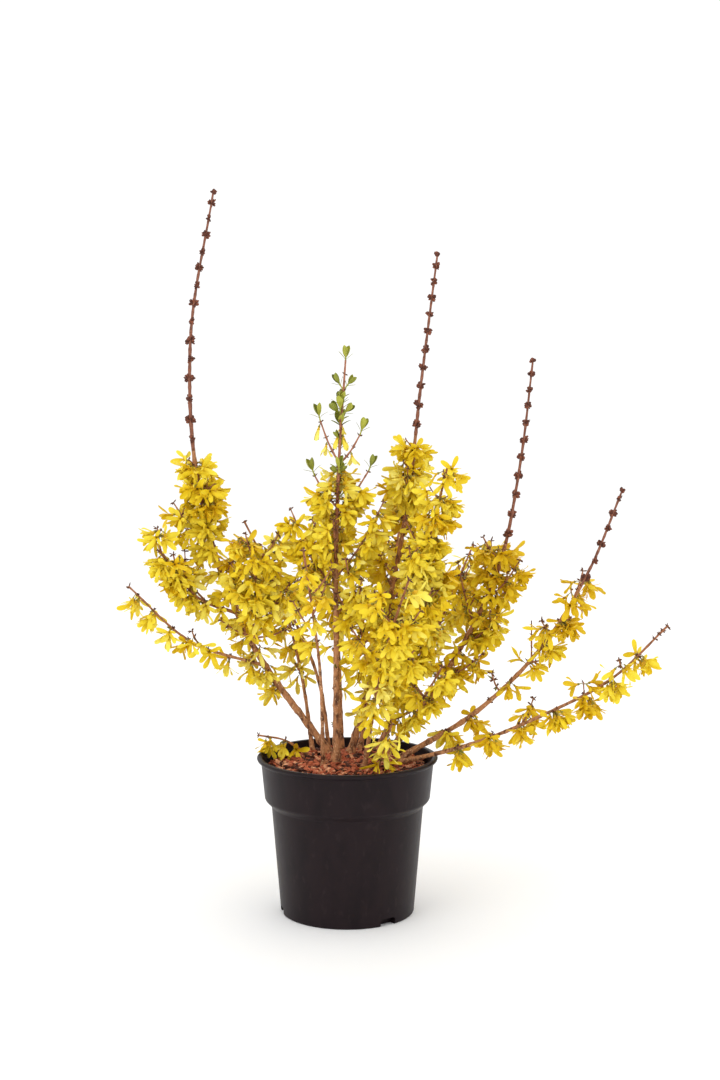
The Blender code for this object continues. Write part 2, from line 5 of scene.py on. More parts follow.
import bpy
import numpy as np
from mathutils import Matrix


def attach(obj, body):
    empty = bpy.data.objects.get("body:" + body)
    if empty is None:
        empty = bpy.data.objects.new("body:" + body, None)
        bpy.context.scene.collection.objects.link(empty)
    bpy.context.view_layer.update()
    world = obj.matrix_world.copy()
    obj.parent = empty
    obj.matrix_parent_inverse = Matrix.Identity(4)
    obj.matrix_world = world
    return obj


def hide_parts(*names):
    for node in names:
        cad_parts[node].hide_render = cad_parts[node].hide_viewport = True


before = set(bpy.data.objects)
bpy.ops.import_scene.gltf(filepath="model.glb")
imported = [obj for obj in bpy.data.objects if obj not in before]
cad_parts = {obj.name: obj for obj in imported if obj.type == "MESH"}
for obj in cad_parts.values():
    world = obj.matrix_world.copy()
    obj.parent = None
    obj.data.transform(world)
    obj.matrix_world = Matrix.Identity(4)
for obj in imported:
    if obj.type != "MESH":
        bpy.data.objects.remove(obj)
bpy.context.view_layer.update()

blossomNodes, shootNodes, stemNodes = (
    sorted(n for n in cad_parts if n.endswith(kind)) for kind in ("_blossom", "_shoot", "_stem"))
print("frame loaded with", len(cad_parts), "nodes")


# Directions and lines

def unit(v):  # each vector drawn out or in to length one
    return v / np.linalg.norm(v, axis=-1, keepdims=True)


def bearingVector(bearing, rise):  # degrees from +X towards +Y, and degrees above the level
    turn, lift = np.radians(bearing), np.radians(rise)
    return np.stack([np.cos(lift) * np.cos(turn), np.cos(lift) * np.sin(turn), np.sin(lift)], -1)


def across(axis, angle):  # square to the axis, at this angle from the side nearest to straight up
    steep = np.abs(axis[..., 2:]) >= 0.96
    up = np.where(steep, (0.0, 1.0, 0.0), (0.0, 0.0, 1.0))
    first = unit(up - axis * (axis * up).sum(-1, keepdims=True))
    angle = np.asarray(angle, float)[..., None]
    return first * np.cos(angle) + np.cross(axis, first) * np.sin(angle)


def turns(sides):  # the angles of so many even steps round a circle
    return np.arange(sides) * 2 * math.pi / sides


def ringOf(axis, side, sides):  # directions round each axis: side times cos plus axis x side times sin
    turn = turns(sides)[:, None]
    return side[:, None] * np.cos(turn) + np.cross(axis, side)[:, None] * np.sin(turn)


def smoothStep(x):  # 0 up to 0, 1 from 1 on, with a level start and end
    x = np.clip(x, 0, 1)
    return x * x * (3 - 2 * x)


def columns(rows, *widths):  # a list of rows taken apart into groups of columns of these widths
    parts = np.split(np.array(rows), np.cumsum(widths)[:-1], axis=1)
    return [part if width > 1 else part[:, 0] for part, width in zip(parts, widths)]


class Route:  # a smooth line through points, 40 steps a span, read by its share of the length
    def __init__(self, points):
        points = np.array(points, float)
        ends = np.vstack((2 * points[0] - points[1], points, 2 * points[-1] - points[-2]))
        t = np.linspace(0, 1, 40, endpoint=False)[:, None]
        spans = [0.5 * (2 * b + (c - a) * t + (2 * a - 5 * b + 4 * c - d) * t**2
                        + (3 * b - a - 3 * c + d) * t**3)
                 for a, b, c, d in zip(ends, ends[1:], ends[2:], ends[3:])]
        self.line = np.vstack(spans + [points[-1:]])
        steps = np.linalg.norm(np.diff(self.line, axis=0), axis=1)
        self.length = steps.sum()
        self.shares = np.concatenate(((0.0,), np.cumsum(steps))) / self.length

    def at(self, share):
        return np.stack([np.interp(share, self.shares, self.line[:, k]) for k in range(3)], -1)

    def along(self, share):
        share = np.asarray(share, float)
        return unit(self.at(np.minimum(share + 0.02, 1.0)) - self.at(np.maximum(share - 0.02, 0.0)))


# Meshes from grids of points

class Pile:  # everything of one kind, gathered as points and faces and made one piece at the end
    def __init__(self):
        self.points, self.faces, self.marks, self.count = [], [], [], 0

    def add(self, points, faces, mark=0.0):  # points (n, 3), faces a list of (m, corners) arrays
        self.points.append(points)
        self.marks.append(np.broadcast_to(mark, (len(points),)))
        self.faces += [face + self.count for face in faces]
        self.count += len(points)

    def addGrids(self, grids, closed=False, caps=False, mark=0.0):
        # grids (n, rows, columns, 3): quads between neighbours, closed joins the last column to the first,
        # caps closes the first and the last row with one face each
        n, rows, cols = grids.shape[:3]
        index = np.arange(n * rows * cols).reshape(n, rows, cols)
        left, right = (index, np.roll(index, -1, axis=2)) if closed else (index[:, :, :-1], index[:, :, 1:])
        faces = [np.stack([left[:, :-1], right[:, :-1], right[:, 1:], left[:, 1:]], -1).reshape(-1, 4)]
        if caps:
            faces += [index[:, 0, ::-1], index[:, -1]]
        self.add(grids.reshape(-1, 3), faces, np.broadcast_to(mark, (n, rows, cols)).reshape(-1))

    def addTubes(self, centres, radii, axis, side, sides, caps=True):
        # centres (n, rows, 3), each row's ring square to its tube's axis and as wide as its radius
        ring = ringOf(axis, side, sides)
        self.addGrids(centres[:, :, None] + ring[:, None] * radii[..., None, None], closed=True, caps=caps)

    def addSpindles(self, root, direction, side, length, width, thick, profile, sides):
        # each a ring of sides carried from root to tip, its place and radius read off the profile, with a
        # point at both ends
        n, turn, (places, radii) = len(root), turns(sides)[:, None], np.array(profile).T
        spoke = (side[:, None] * np.cos(turn) * width[:, None, None] / 2
                 + np.cross(direction, side)[:, None] * np.sin(turn) * thick[:, None, None] / 2)
        rings = (root[:, None, None] + direction[:, None, None] * (length[:, None] * places)[..., None, None]
                 + spoke[:, None] * radii[None, :, None, None])
        ends = np.stack([root, root + direction * length[:, None]], 1)
        points = np.concatenate([rings.reshape(n, -1, 3), ends], 1)
        foot = len(places) * sides  # the number of the point at the root, and the tip's is one more
        ring = np.arange(foot).reshape(-1, sides)
        after = np.roll(ring, -1, axis=1)
        shapes = (np.stack([ring[:-1], after[:-1], after[1:], ring[1:]], -1).reshape(-1, 4),
                  np.stack([after[0], ring[0], np.full(sides, foot)], -1),
                  np.stack([ring[-1], after[-1], np.full(sides, foot + 1)], -1))
        step = np.arange(n)[:, None, None] * points.shape[1]
        self.add(points.reshape(-1, 3), [(shape + step).reshape(-1, shape.shape[1]) for shape in shapes])


def meshOf(name, pile):  # the pile's points, faces and marks as one mesh
    points = np.concatenate(pile.points).astype(np.float32)
    corners = np.concatenate([face.ravel() for face in pile.faces]).astype(np.int32)
    sizes = np.concatenate([np.full(len(face), face.shape[1]) for face in pile.faces])
    starts = np.concatenate(((0,), np.cumsum(sizes)[:-1])).astype(np.int32)
    mesh = bpy.data.meshes.new(name)
    mesh.vertices.add(len(points))
    mesh.vertices.foreach_set("co", points.ravel())
    mesh.loops.add(len(corners))
    mesh.loops.foreach_set("vertex_index", corners)
    mesh.polygons.add(len(sizes))
    mesh.polygons.foreach_set("loop_start", starts)
    mesh.update(calc_edges=True)
    mesh.validate()
    mark = mesh.attributes.new("mark", "FLOAT", "POINT")
    mark.data.foreach_set("value", np.concatenate(pile.marks).astype(np.float32))
    return mesh


def makePiece(name, pile, material, replaced=(), smooth=True):
    # the pile as a piece that rides on the root body and stands for the replaced nodes
    mesh = meshOf(name, pile)
    if smooth:
        mesh.shade_smooth()
    else:
        mesh.shade_flat()
    mesh.materials.append(material)
    piece = bpy.data.objects.new(name, mesh)
    bpy.context.scene.collection.objects.link(piece)
    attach(piece, "root")
    if replaced:
        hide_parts(*replaced)
    print(f"{name}: {sum(len(face.vertices) - 2 for face in mesh.polygons)} triangles")
    return piece


# Colours and finishes

def tint(red, green, blue):  # the photograph's 0 to 255 values, as Blender's linear colour
    value = np.array((red, green, blue)) / 255
    linear = np.where(value <= 0.04045, value / 12.92, ((value + 0.055) / 1.055) ** 2.4)
    return (*linear.tolist(), 1.0)


class Finish:  # the nodes of a material or a group, each added with its inputs and giving its outputs
    def __init__(self, tree):
        self.tree = tree

    def fill(self, node, inputs):  # an input is linked where its value is another node's output, or else set
        for label, value in inputs.items():
            if isinstance(value, bpy.types.NodeSocket):
                self.tree.links.new(value, node.inputs[label])
            else:
                node.inputs[label].default_value = value
        return node.outputs

    def add(self, kind, inputs, **settings):
        node = self.tree.nodes.new("ShaderNode" + kind)
        for setting, value in settings.items():
            setattr(node, setting, value)
        return self.fill(node, inputs)

    def place(self):
        return self.add("TexCoord", {})["Object"]

    def mark(self):
        return self.add("Attribute", {}, attribute_name="mark")["Fac"]

    def noise(self, vector, scale, detail=2.0):
        return self.add("TexNoise", dict(Vector=vector, Scale=scale, Detail=detail))["Fac"]

    def stretchedNoise(self, vector, stretch, scale, detail):  # noise read off coordinates scaled per axis
        return self.noise(self.add("Mapping", dict(Vector=vector, Scale=stretch))[0], scale, detail)

    def mix(self, factor, first, second):  # a Mix node keeps its two colours at 6 and 7, and their mix at 2
        return self.add("Mix", {0: factor, 6: first, 7: second}, data_type="RGBA")[2]

    def sharpen(self, value, low, high):  # stretches a value so that low becomes 0 and high becomes 1
        return self.add("MapRange", {"Value": value, "From Min": low, "From Max": high})["Result"]

    def bump(self, height, strength, distance):
        return self.add("Bump", dict(Height=height, Strength=strength, Distance=distance))["Normal"]

    def mottled(self, colours, scale):  # the mottle group, with its main, dark and light colour
        main, dark, light = (tint(*colour) for colour in colours)
        inputs = dict(Vector=self.place(), Scale=scale, Main=main, Dark=dark, Light=light)
        return self.add("Group", inputs, node_tree=mottle)


def newGroup(name, inputs, outputs):  # a node group with sockets given as label=kind
    group = bpy.data.node_groups.new(name, "ShaderNodeTree")
    for direction, sockets in (("INPUT", inputs), ("OUTPUT", outputs)):
        for label, kind in sockets.items():
            group.interface.new_socket(label, in_out=direction, socket_type="NodeSocket" + kind)
    start, end = group.nodes.new("NodeGroupInput"), group.nodes.new("NodeGroupOutput")
    return group, Finish(group), start.outputs, end


# what the broad and the fine noise are stretched by, and the stretches of them that blend into the next
# colour
mottling = dict(broad=(1, 1, 0.45), fine=(3.1, 3.1, 1.6), patches=(0.46, 0.68), specks=(0.58, 0.72),
                aging=(0.45, 0.95), youngScale=1.4)


def makeMottle():  # three colours in soft blotches: the main one, darker patches, light specks
    group, finish, given, result = newGroup(
        "mottle", dict(Vector="Vector", Scale="Float", Main="Color", Dark="Color", Light="Color"),
        dict(Color="Color", Height="Float"))
    broad = finish.stretchedNoise(given["Vector"], mottling["broad"], given["Scale"], 3.0)
    fine = finish.stretchedNoise(given["Vector"], mottling["fine"], given["Scale"], 4.0)
    darker = finish.mix(finish.sharpen(broad, *mottling["patches"]), given["Main"], given["Dark"])
    specked = finish.mix(finish.sharpen(fine, *mottling["specks"]), darker, given["Light"])
    finish.fill(result, dict(Color=specked, Height=fine))
    return group


def makeAge():  # mottled old bark that turns to plain young bark as the wood's mark goes from 0 to 1
    group, finish, given, result = newGroup(
        "bark age", dict(Old="Color", Young="Color", Mark="Float"), dict(Color="Color"))
    part = finish.sharpen(given["Mark"], *mottling["aging"])
    finish.fill(result, dict(Color=finish.mix(part, given["Old"], given["Young"])))
    return group


mottle, barkAge = makeMottle(), makeAge()


def newMaterial(name, roughness, specular):  # a material, its nodes, and its shader with these two values
    material = bpy.data.materials.new(name)
    material.use_nodes = True
    shader = material.node_tree.nodes["Principled BSDF"]
    finish = Finish(material.node_tree)
    finish.fill(shader, {"Roughness": roughness, "Specular IOR Level": specular})
    return material, finish, shader


def mottledMaterial(name, colours, scale, roughness, bump, young=None):
    # the mottle group on Object coordinates, its height in a bump, and with young the bark's change along a
    # limb
    material, finish, shader = newMaterial(name, roughness, 0.4)
    spots = finish.mottled(colours, scale)
    colour = spots["Color"]
    if young:
        younger = finish.mottled(young, scale * mottling["youngScale"])["Color"]
        inputs = dict(Old=colour, Young=younger, Mark=finish.mark())
        colour = finish.add("Group", inputs, node_tree=barkAge)["Color"]
    finish.fill(shader, {"Base Color": colour, "Normal": finish.bump(spots["Height"], bump, 0.0008)})
    return material


# The pot

pot = dict(
    outside=[(0.0838, 0.0), (0.0850, 0.0016), (0.0965, 0.1375), (0.0985, 0.1400), (0.1036, 0.1450),
             (0.1050, 0.1475), (0.1095, 0.1930), (0.1140, 0.1958), (0.1150, 0.1985), (0.1135, 0.2000),
             (0.1082, 0.2000)],
    wallCorners=(1, 2, 6),  # the foot, the shoulder and the underside of the lip, as numbers in outside
    wall=0.0020, floor=0.0100, hub=0.02, rounding=0.0011, sides=180,
    notchWidth=0.0225, notchHeight=0.0095, notchDepth=0.0130, notchRise=0.003,
    notchBearings=(-53.0, 67.0, 191.0),
    past=0.006,  # how far a notch's block stands out of the wall
    colours=((31, 21, 24), (25, 17, 20), (38, 28, 30)), roughness=(0.36, 0.50), specular=0.13)


def innerRadius(height):  # the outside of the wall at this height, less its thickness
    radii, heights = np.array([pot["outside"][k] for k in pot["wallCorners"]]).T
    return np.interp(height, heights, radii) - pot["wall"]


def roundedProfile(corners, rounding, steps=3):
    # each inner corner gives way to a short arc: points on the quadratic curve from one side to the other
    corners = np.array(corners, float)
    points = [corners[:1]]
    t = np.linspace(0, 1, steps + 1)[:, None]
    for before, corner, after in zip(corners, corners[1:], corners[2:]):
        back, ahead = before - corner, after - corner
        reach = min(rounding, 0.4 * np.linalg.norm(back), 0.4 * np.linalg.norm(ahead))
        a, b = corner + unit(back) * reach, corner + unit(ahead) * reach
        points.append((1 - t) ** 2 * a + 2 * t * (1 - t) * corner + t**2 * b)
    return np.vstack(points + [corners[-1:]])


def turned(radius, height, sides):  # rings of these radii round the pot's axis, at these heights
    x, y = radius[:, None] * np.cos(turns(sides)), radius[:, None] * np.sin(turns(sides))
    return np.stack([x, y, np.broadcast_to(height, x.shape)], -1)


def cutNotches(piece):
    # each drainage notch is cut out with a block whose upper edge is an arch: flat, with its ends turned
    # down
    half, rise = pot["notchWidth"] / 2, pot["notchRise"]
    turn = np.linspace(0, math.pi, 13)
    arch = np.stack([half * np.sign(np.cos(turn)) * np.abs(np.cos(turn)) ** 0.35,
                     pot["notchHeight"] - rise + rise * np.sin(turn)], -1)
    arch = np.vstack([(half, -0.004), arch, (-half, -0.004)])
    for bearing in pot["notchBearings"]:
        side = bearingVector(bearing, 0.0)
        middle = side * (pot["outside"][1][0] + pot["past"] - pot["notchDepth"] / 2)
        out = side * (pot["notchDepth"] + pot["past"]) / 2
        ring = np.array((-side[1], side[0], 0.0)) * arch[:, :1] + np.array((0, 0, 1.0)) * arch[:, 1:]
        block = Pile()
        block.addGrids(np.stack([middle - out + ring, middle + out + ring])[None], closed=True, caps=True)
        cutter = bpy.data.objects.new("notchBlock", meshOf("notchBlock", block))
        bpy.context.scene.collection.objects.link(cutter)
        cut = piece.modifiers.new("notch", "BOOLEAN")
        cut.operation, cut.solver, cut.object = "DIFFERENCE", "EXACT", cutter
        mesh = bpy.data.meshes.new_from_object(piece.evaluated_get(bpy.context.evaluated_depsgraph_get()))
        piece.modifiers.clear()
        piece.data = mesh
        bpy.data.objects.remove(cutter, do_unlink=True)


def makePot():  # the wall's profile carried round the axis, out of dark plastic with a fine grain
    low, high = pot["outside"][2][1], pot["outside"][6][1]
    inside = [(innerRadius(h), h) for h in (high, low, pot["floor"])]
    corners = pot["outside"] + inside + [(pot["hub"], pot["floor"])]
    radius, height = np.vstack([(pot["hub"], 0.0), roundedProfile(corners, pot["rounding"])]).T
    pile = Pile()
    pile.addGrids(turned(radius, height[:, None], pot["sides"])[None], closed=True, caps=True)
    material, finish, shader = newMaterial("pot plastic", 0.42, pot["specular"])
    spots = finish.mottled(pot["colours"], 45.0)
    least, most = pot["roughness"]
    rough = finish.add("MapRange", {"Value": spots["Height"], "To Min": least, "To Max": most})["Result"]
    grain = finish.bump(finish.noise(finish.place(), 1400.0), 0.10, 0.0003)
    finish.fill(shader, {"Base Color": spots["Color"], "Roughness": rough, "Normal": grain})
    piece = makePiece("potBody", pile, material, ["pot"])
    cutNotches(piece)
    piece.data.shade_smooth()
    piece.data.set_sharp_from_angle(angle=math.radians(40))


makePot()


# The bark mulch

mulch = dict(top=0.1920, flat=0.070, edge=0.1820, rim=0.106, under=0.176, hollows=0.0012, relief=0.0009,
             sides=150, chips=1150, crumbs=1500, chipLength=(0.006, 0.019), chipWidth=(0.0018, 0.0060),
             chipThick=(0.0008, 0.0022), crumbLength=(0.002, 0.006), seed=5,
             bed=((112, 60, 42), (62, 34, 26), (165, 98, 68)))
# each kind's share of the chips and its main, dark and light colour
mulchKinds = dict(mulchRed=(0.50, ((186, 98, 66), (122, 60, 40), (220, 142, 104))),
                  mulchLight=(0.20, ((226, 164, 124), (178, 108, 76), (240, 196, 160))),
                  mulchDark=(0.30, ((84, 46, 33), (46, 27, 22), (122, 72, 50))))


def mulchHeight(x, y):  # the mound over the soil: flat in the middle, down to the wall, with soft hollows
    fall = smoothStep((np.hypot(x, y) - mulch["flat"]) / (mulch["rim"] - mulch["flat"]))
    waves = np.sin(61 * x + 2.0) * np.sin(53 * y + 0.7) + 0.6 * np.sin(127 * x - 90 * y)
    return mulch["top"] - (mulch["top"] - mulch["edge"]) * fall + waves * mulch["hollows"]


def lieOnMulch(rng, radius, bearing, raised):  # points on the mulch, raised by a draw from this range
    x, y = radius * np.cos(bearing), radius * np.sin(bearing)
    return np.stack([x, y, mulchHeight(x, y) + rng.uniform(*raised, len(radius))], -1)


def makeBed(wall):  # the surface under the chips, roughened by short waves, with its edge carried down
    rings = turned(np.linspace(0.004, wall, 46), mulch["under"], mulch["sides"])
    x, y = rings[..., 0], rings[..., 1]
    waves = np.sin(410 * x + 300 * y) * np.sin(370 * y - 260 * x) + np.sin(820 * x) * np.sin(760 * y)
    top = np.stack([x, y, mulchHeight(x, y) + waves * mulch["relief"]], -1)
    pile = Pile()
    pile.addGrids(np.concatenate([rings[:1], rings[-1:], top[::-1]])[None], closed=True, caps=True)
    soil = mottledMaterial("fine mulch", mulch["bed"], 260, 0.92, 0.9)
    makePiece("mulchBed", pile, soil, ["mulch"])


def makeMulch():  # chips and crumbs scattered evenly, at the wall's radius times the root of an even draw
    rng, wall = np.random.default_rng(mulch["seed"]), float(innerRadius(0.184)) - 0.0004
    makeBed(wall)
    for name, (part, colours) in mulchKinds.items():
        count = int(mulch["chips"] * part)
        place = wall * np.sqrt(rng.uniform(0, 0.985, count))
        bearing = rng.uniform(0, 2 * math.pi, count)
        length = rng.uniform(*mulch["chipLength"], count)
        place = np.minimum(place, wall - length * 0.52)
        heading = rng.uniform(0, 2 * math.pi, count)
        direction = unit(np.stack([np.cos(heading), np.sin(heading), rng.normal(0, 0.28, count)], -1))
        side = across(direction, rng.normal(math.pi / 2, 0.35, count))
        root = lieOnMulch(rng, place, bearing, (0.0004, 0.0030)) - direction * length[:, None] / 2
        width, thick = (rng.uniform(*mulch[key], count) * 2 for key in ("chipWidth", "chipThick"))
        pile = Pile()  # a chip is a split block: blunt, uneven ends and a flat section
        pile.addSpindles(root, direction, side, length, width, thick,
                         [(0.03, 0.45), (0.10, 0.66), (0.42, 0.74), (0.70, 0.62), (0.95, 0.50)], 6)
        pile.points[0] = pile.points[0] + rng.normal(0, 0.00035, pile.points[0].shape)
        count = int(mulch["crumbs"] * part)
        place = wall * np.sqrt(rng.uniform(0, 0.97, count))
        root = lieOnMulch(rng, place, rng.uniform(0, 2 * math.pi, count), (0.0, 0.0015))
        direction = unit(rng.normal(0, 1, (count, 3)) * (1, 1, 0.4))
        length = rng.uniform(*mulch["crumbLength"], count)
        pile.addSpindles(root, direction, across(direction, rng.uniform(0, 3, count)), length, length * 0.7,
                         length * 0.4, [(0.15, 0.8), (0.8, 0.7)], 4)
        split = mottledMaterial(name, colours, 330, 0.9, 0.7)
        makePiece(name, pile, split, ["mulch"], smooth=False)


makeMulch()


# The shrub's limbs, as in the solids. Their points are in millimetres, and a foot has no height of its own

ground = 0.1943  # in metres, the height at which the limbs leave the mulch
# radius at the foot and the tip, the stretch of the length that carries blossom, and the points of the route
canes = dict(
    left=((0.0058, 0.0013), (0.30, 0.57), (-22, 32), (-128, 46, 346), (-189, 50, 530), (-199, 44, 723),
        (-167, 30, 911)),
    back_left=((0.0030, 0.0013), (0.36, 1.0), (-24, 56), (-36, 72, 275), (-65, 92, 349), (-138, 130, 488)),
    centre=((0.0056, 0.0012), (0.36, 0.615), (-14, -3), (-14, -2, 323), (-14, 0, 452), (-10, 4, 581),
        (-2, 10, 700)),
    mid=((0.0052, 0.0013), (0.24, 0.645), (4, 45), (45, 48, 351), (76, 50, 511), (94, 51, 672),
        (114, 50, 834)),
    second=((0.0042, 0.0013), (0.17, 1.0), (42, 26), (66, 5, 298), (83, -18, 390), (123, -60, 573)),
    tall_right=((0.0050, 0.0013), (0.15, 0.565), (54, 45), (135, 69, 306), (196, 80, 429), (223, 77, 564),
        (237, 60, 700)),
    low_right=((0.0046, 0.0013), (0.11, 0.71), (64, 4), (164, 16, 253), (245, 20, 333), (304, 11, 432),
        (343, -10, 538)),
    lowest_right=((0.0036, 0.0013), (0.12, 1.0), (66, -14), (158, -30, 222), (243, -49, 262),
        (324, -70, 311), (389, -90, 380)),
    front_left=((0.0030, 0.0012), (0.52, 1.0), (-30, -30), (-32, -85, 315), (-40, -130, 400),
        (-50, -165, 480)),
    front_right=((0.0036, 0.0012), (0.20, 1.0), (22, -34), (36, -90, 300), (50, -140, 370), (72, -205, 450)),
    back_outer_left=((0.0032, 0.0012), (0.42, 1.0), (-46, 60), (-60, 98, 280), (-82, 145, 360),
        (-112, 205, 440)),
    back_centre=((0.0036, 0.0012), (0.42, 1.0), (-8, 68), (-12, 110, 310), (-20, 160, 410), (-32, 220, 500)),
    back_mid=((0.0040, 0.0012), (0.32, 1.0), (16, 66), (38, 112, 320), (62, 165, 430), (82, 215, 550)),
    back_right=((0.0034, 0.0012), (0.36, 1.0), (38, 62), (86, 110, 290), (128, 150, 360), (172, 205, 450)))
# radius, the cane it leaves and the share of that cane, and the points of the route
branches = dict(
    left_outer=((0.0024, 0.0012), "left", 0.285, (-192, 26, 400), (-236, -8, 463)),
    left_inner=((0.0026, 0.0012), "left", 0.225, (-114, -4, 389), (-118, -30, 470)),
    left_low=((0.0026, 0.0012), "left", 0.185, (-199, 10, 345), (-273, -20, 419)),
    second_low=((0.0024, 0.0012), "second", 0.12, (88, -20, 268), (118, -46, 322)),
    mid_inner=((0.0026, 0.0012), "mid", 0.150, (18, 2, 355), (-2, -30, 455)))
# radius and points of the small shoots that stand on the mulch
sprigs = dict(rim_sprig=((0.0018, 0.0011), (-52, 30), (-80, 26, 214), (-114, 20, 222)),
              front_sprig=((0.0018, 0.0011), (39, -45), (46, -64, 226), (55, -84, 258)))
# share of the limb, bearing, rise and length of each side twig
twigs = dict(
    left=[(0.395, 180, 45, 78), (0.455, 285, 70, 45), (0.350, 20, 60, 50), (0.49, 80, 55, 40)],
    left_outer=[(0.30, 190, 50, 50), (0.55, 100, 45, 50), (0.62, 250, 50, 40), (0.96, 150, 78, 26)],
    left_inner=[(0.10, 345, 12, 50), (0.12, 200, 20, 45), (0.25, 160, 45, 55), (0.35, 340, 40, 60),
        (0.55, 180, 50, 50), (0.62, 20, 45, 45), (0.82, 5, 48, 46), (0.90, 165, 70, 26)],
    left_low=[(0.42, 250, 35, 30)],
    second_low=[(0.40, 330, 25, 35), (0.60, 150, 40, 40)],
    back_left=[(0.58, 330, 60, 60), (0.66, 160, 45, 50), (0.80, 60, 50, 45)],
    centre=[(0.42, 192, 58, 118), (0.46, 338, 52, 112), (0.52, 90, 50, 70), (0.50, 265, 55, 60)],
    mid=[(0.36, 200, 55, 60), (0.40, 340, 45, 55), (0.46, 90, 45, 70), (0.50, 270, 50, 60),
        (0.34, 120, 40, 80)],
    mid_inner=[(0.35, 340, 45, 55), (0.50, 190, 50, 45), (0.62, 280, 45, 50)],
    second=[(0.32, 350, 45, 70), (0.40, 190, 50, 60), (0.52, 10, 50, 60), (0.60, 250, 45, 60),
        (0.70, 170, 55, 45), (0.45, 300, 40, 70)],
    tall_right=[(0.215, 345, 25, 57), (0.30, 345, 35, 60), (0.42, 325, 42, 72), (0.36, 120, 60, 80),
        (0.47, 90, 45, 60), (0.52, 172, 50, 34)],
    low_right=[(0.34, 250, 30, 45), (0.66, 60, 40, 45), (0.56, 240, 20, 35)],
    lowest_right=[(0.42, 60, 30, 40), (0.80, 250, 20, 30)],
    front_left=[(0.62, 150, 45, 45), (0.72, 300, 45, 45), (0.80, 20, 45, 35)],
    front_right=[(0.40, 350, 40, 60), (0.52, 200, 45, 55), (0.62, 330, 40, 60), (0.74, 230, 45, 50)],
    back_outer_left=[(0.55, 170, 40, 60), (0.68, 60, 45, 55), (0.78, 190, 45, 45)],
    back_centre=[(0.52, 40, 45, 55), (0.62, 150, 45, 60), (0.74, 80, 45, 50), (0.82, 200, 50, 40)],
    back_mid=[(0.42, 150, 45, 60), (0.50, 30, 40, 70), (0.64, 100, 45, 60)],
    back_right=[(0.50, 100, 40, 60), (0.60, 330, 35, 60), (0.72, 40, 45, 50)])
bareTwigs = dict(low_right=[(0.465, 90, 84, 48), (0.455, 10, 2, 22)])
leafyTwigs = [(0.745, 182, 63, 58), (0.740, 6, 50, 47), (0.635, 180, 50, 50), (0.628, 4, 46, 64),
    (0.80, 90, 60, 45), (0.82, 270, 60, 28), (0.66, 275, 50, 40), (0.69, 85, 50, 50)]
# leaf sets on the middle stem itself: share of its length, bearing, lean from the stem, stalk and size
leafSets = [(0.925, 186, 34, 0.0110, 0.92), (0.925, 8, 34, 0.0110, 0.86), (0.895, 262, 20, 0.0040, 0.80),
            (0.862, 190, 42, 0.0075, 1.00), (0.862, 352, 42, 0.0080, 0.90), (0.838, 250, 30, 0.0030, 1.15),
            (0.800, 200, 30, 0.0050, 0.70), (0.845, 90, 40, 0.0080, 0.90), (0.900, 95, 34, 0.0080, 0.80),
            (0.722, 195, 55, 0.0030, 0.68), (0.718, 330, 35, 0.0050, 0.80), (0.655, 345, 40, 0.0110, 0.60)]
# hanging flowers on its twigs: number of the twig, share of it, bearing, tint, opening; -1 is the stem
hangers = [(0, 0.9, 200, 4, 0.1), (0, 0.5, 230, 4, 0.75), (1, 0.45, 310, 4, 0.85), (3, 0.3, 290, 4, 0.45),
           (-1, 0.815, 190, 3, 0.08), (-1, 0.815, 350, 3, 0.08), (2, 0.3, 260, 3, 0.8), (4, 0.6, 70, 3, 0.6),
           (-1, 0.715, 120, 3, 0.08)]

wood = dict(flare=0.45, flareLength=0.014, jointGap=0.0235, jointSwell=0.22, jointLength=0.0028,
            ringGap=0.0036, sides=12, thinSides=9, twigSides=6, twigRadius=(0.0014, 0.0009), relief=0.06,
            thinRelief=0.05, sunk=0.006, slim=0.8, twigGrowth=0.006)
caneWood, bloomWood, shootWood, leafyWood = Pile(), Pile(), Pile(), Pile()


def standing(foot, *rest):  # the route of a limb on the ground, its points given in millimetres
    return Route([(foot[0] / 1000, foot[1] / 1000, ground), *(np.array(rest) / 1000)])


caneRoutes = {name: standing(*points) for name, (radius, bloom, *points) in canes.items()}


def radiusAt(radius, share, length):
    # tip plus the rest of the foot's radius times what is left of the way to the power 1.15, plus the root
    # flare
    foot, tip = radius
    share, foot = np.maximum(share, 0), foot * wood["slim"]
    flare = foot * wood["flare"] * np.exp(-share * length / wood["flareLength"])
    return tip + (foot - tip) * (1 - share) ** 1.15 + flare


def twigRoute(start, bearing, rise, length, longer=0.0):
    # leaves at its bearing and rise and bends upwards. The length is in millimetres, longer adds metres to
    # it
    first, length = bearingVector(bearing, rise), length / 1000 + longer
    middle = start + first * length * 0.5
    return Route([start, middle, middle + unit(first + np.array((0, 0, 0.35))) * length * 0.5])


def carriedSides(axes):  # a side square to each axis, carried from ring to ring without a twist
    sides = [across(axes[0], 0.0)]
    for axis in axes[1:]:
        sides.append(unit(sides[-1] - axis * axis.dot(sides[-1])))
    return np.array(sides)


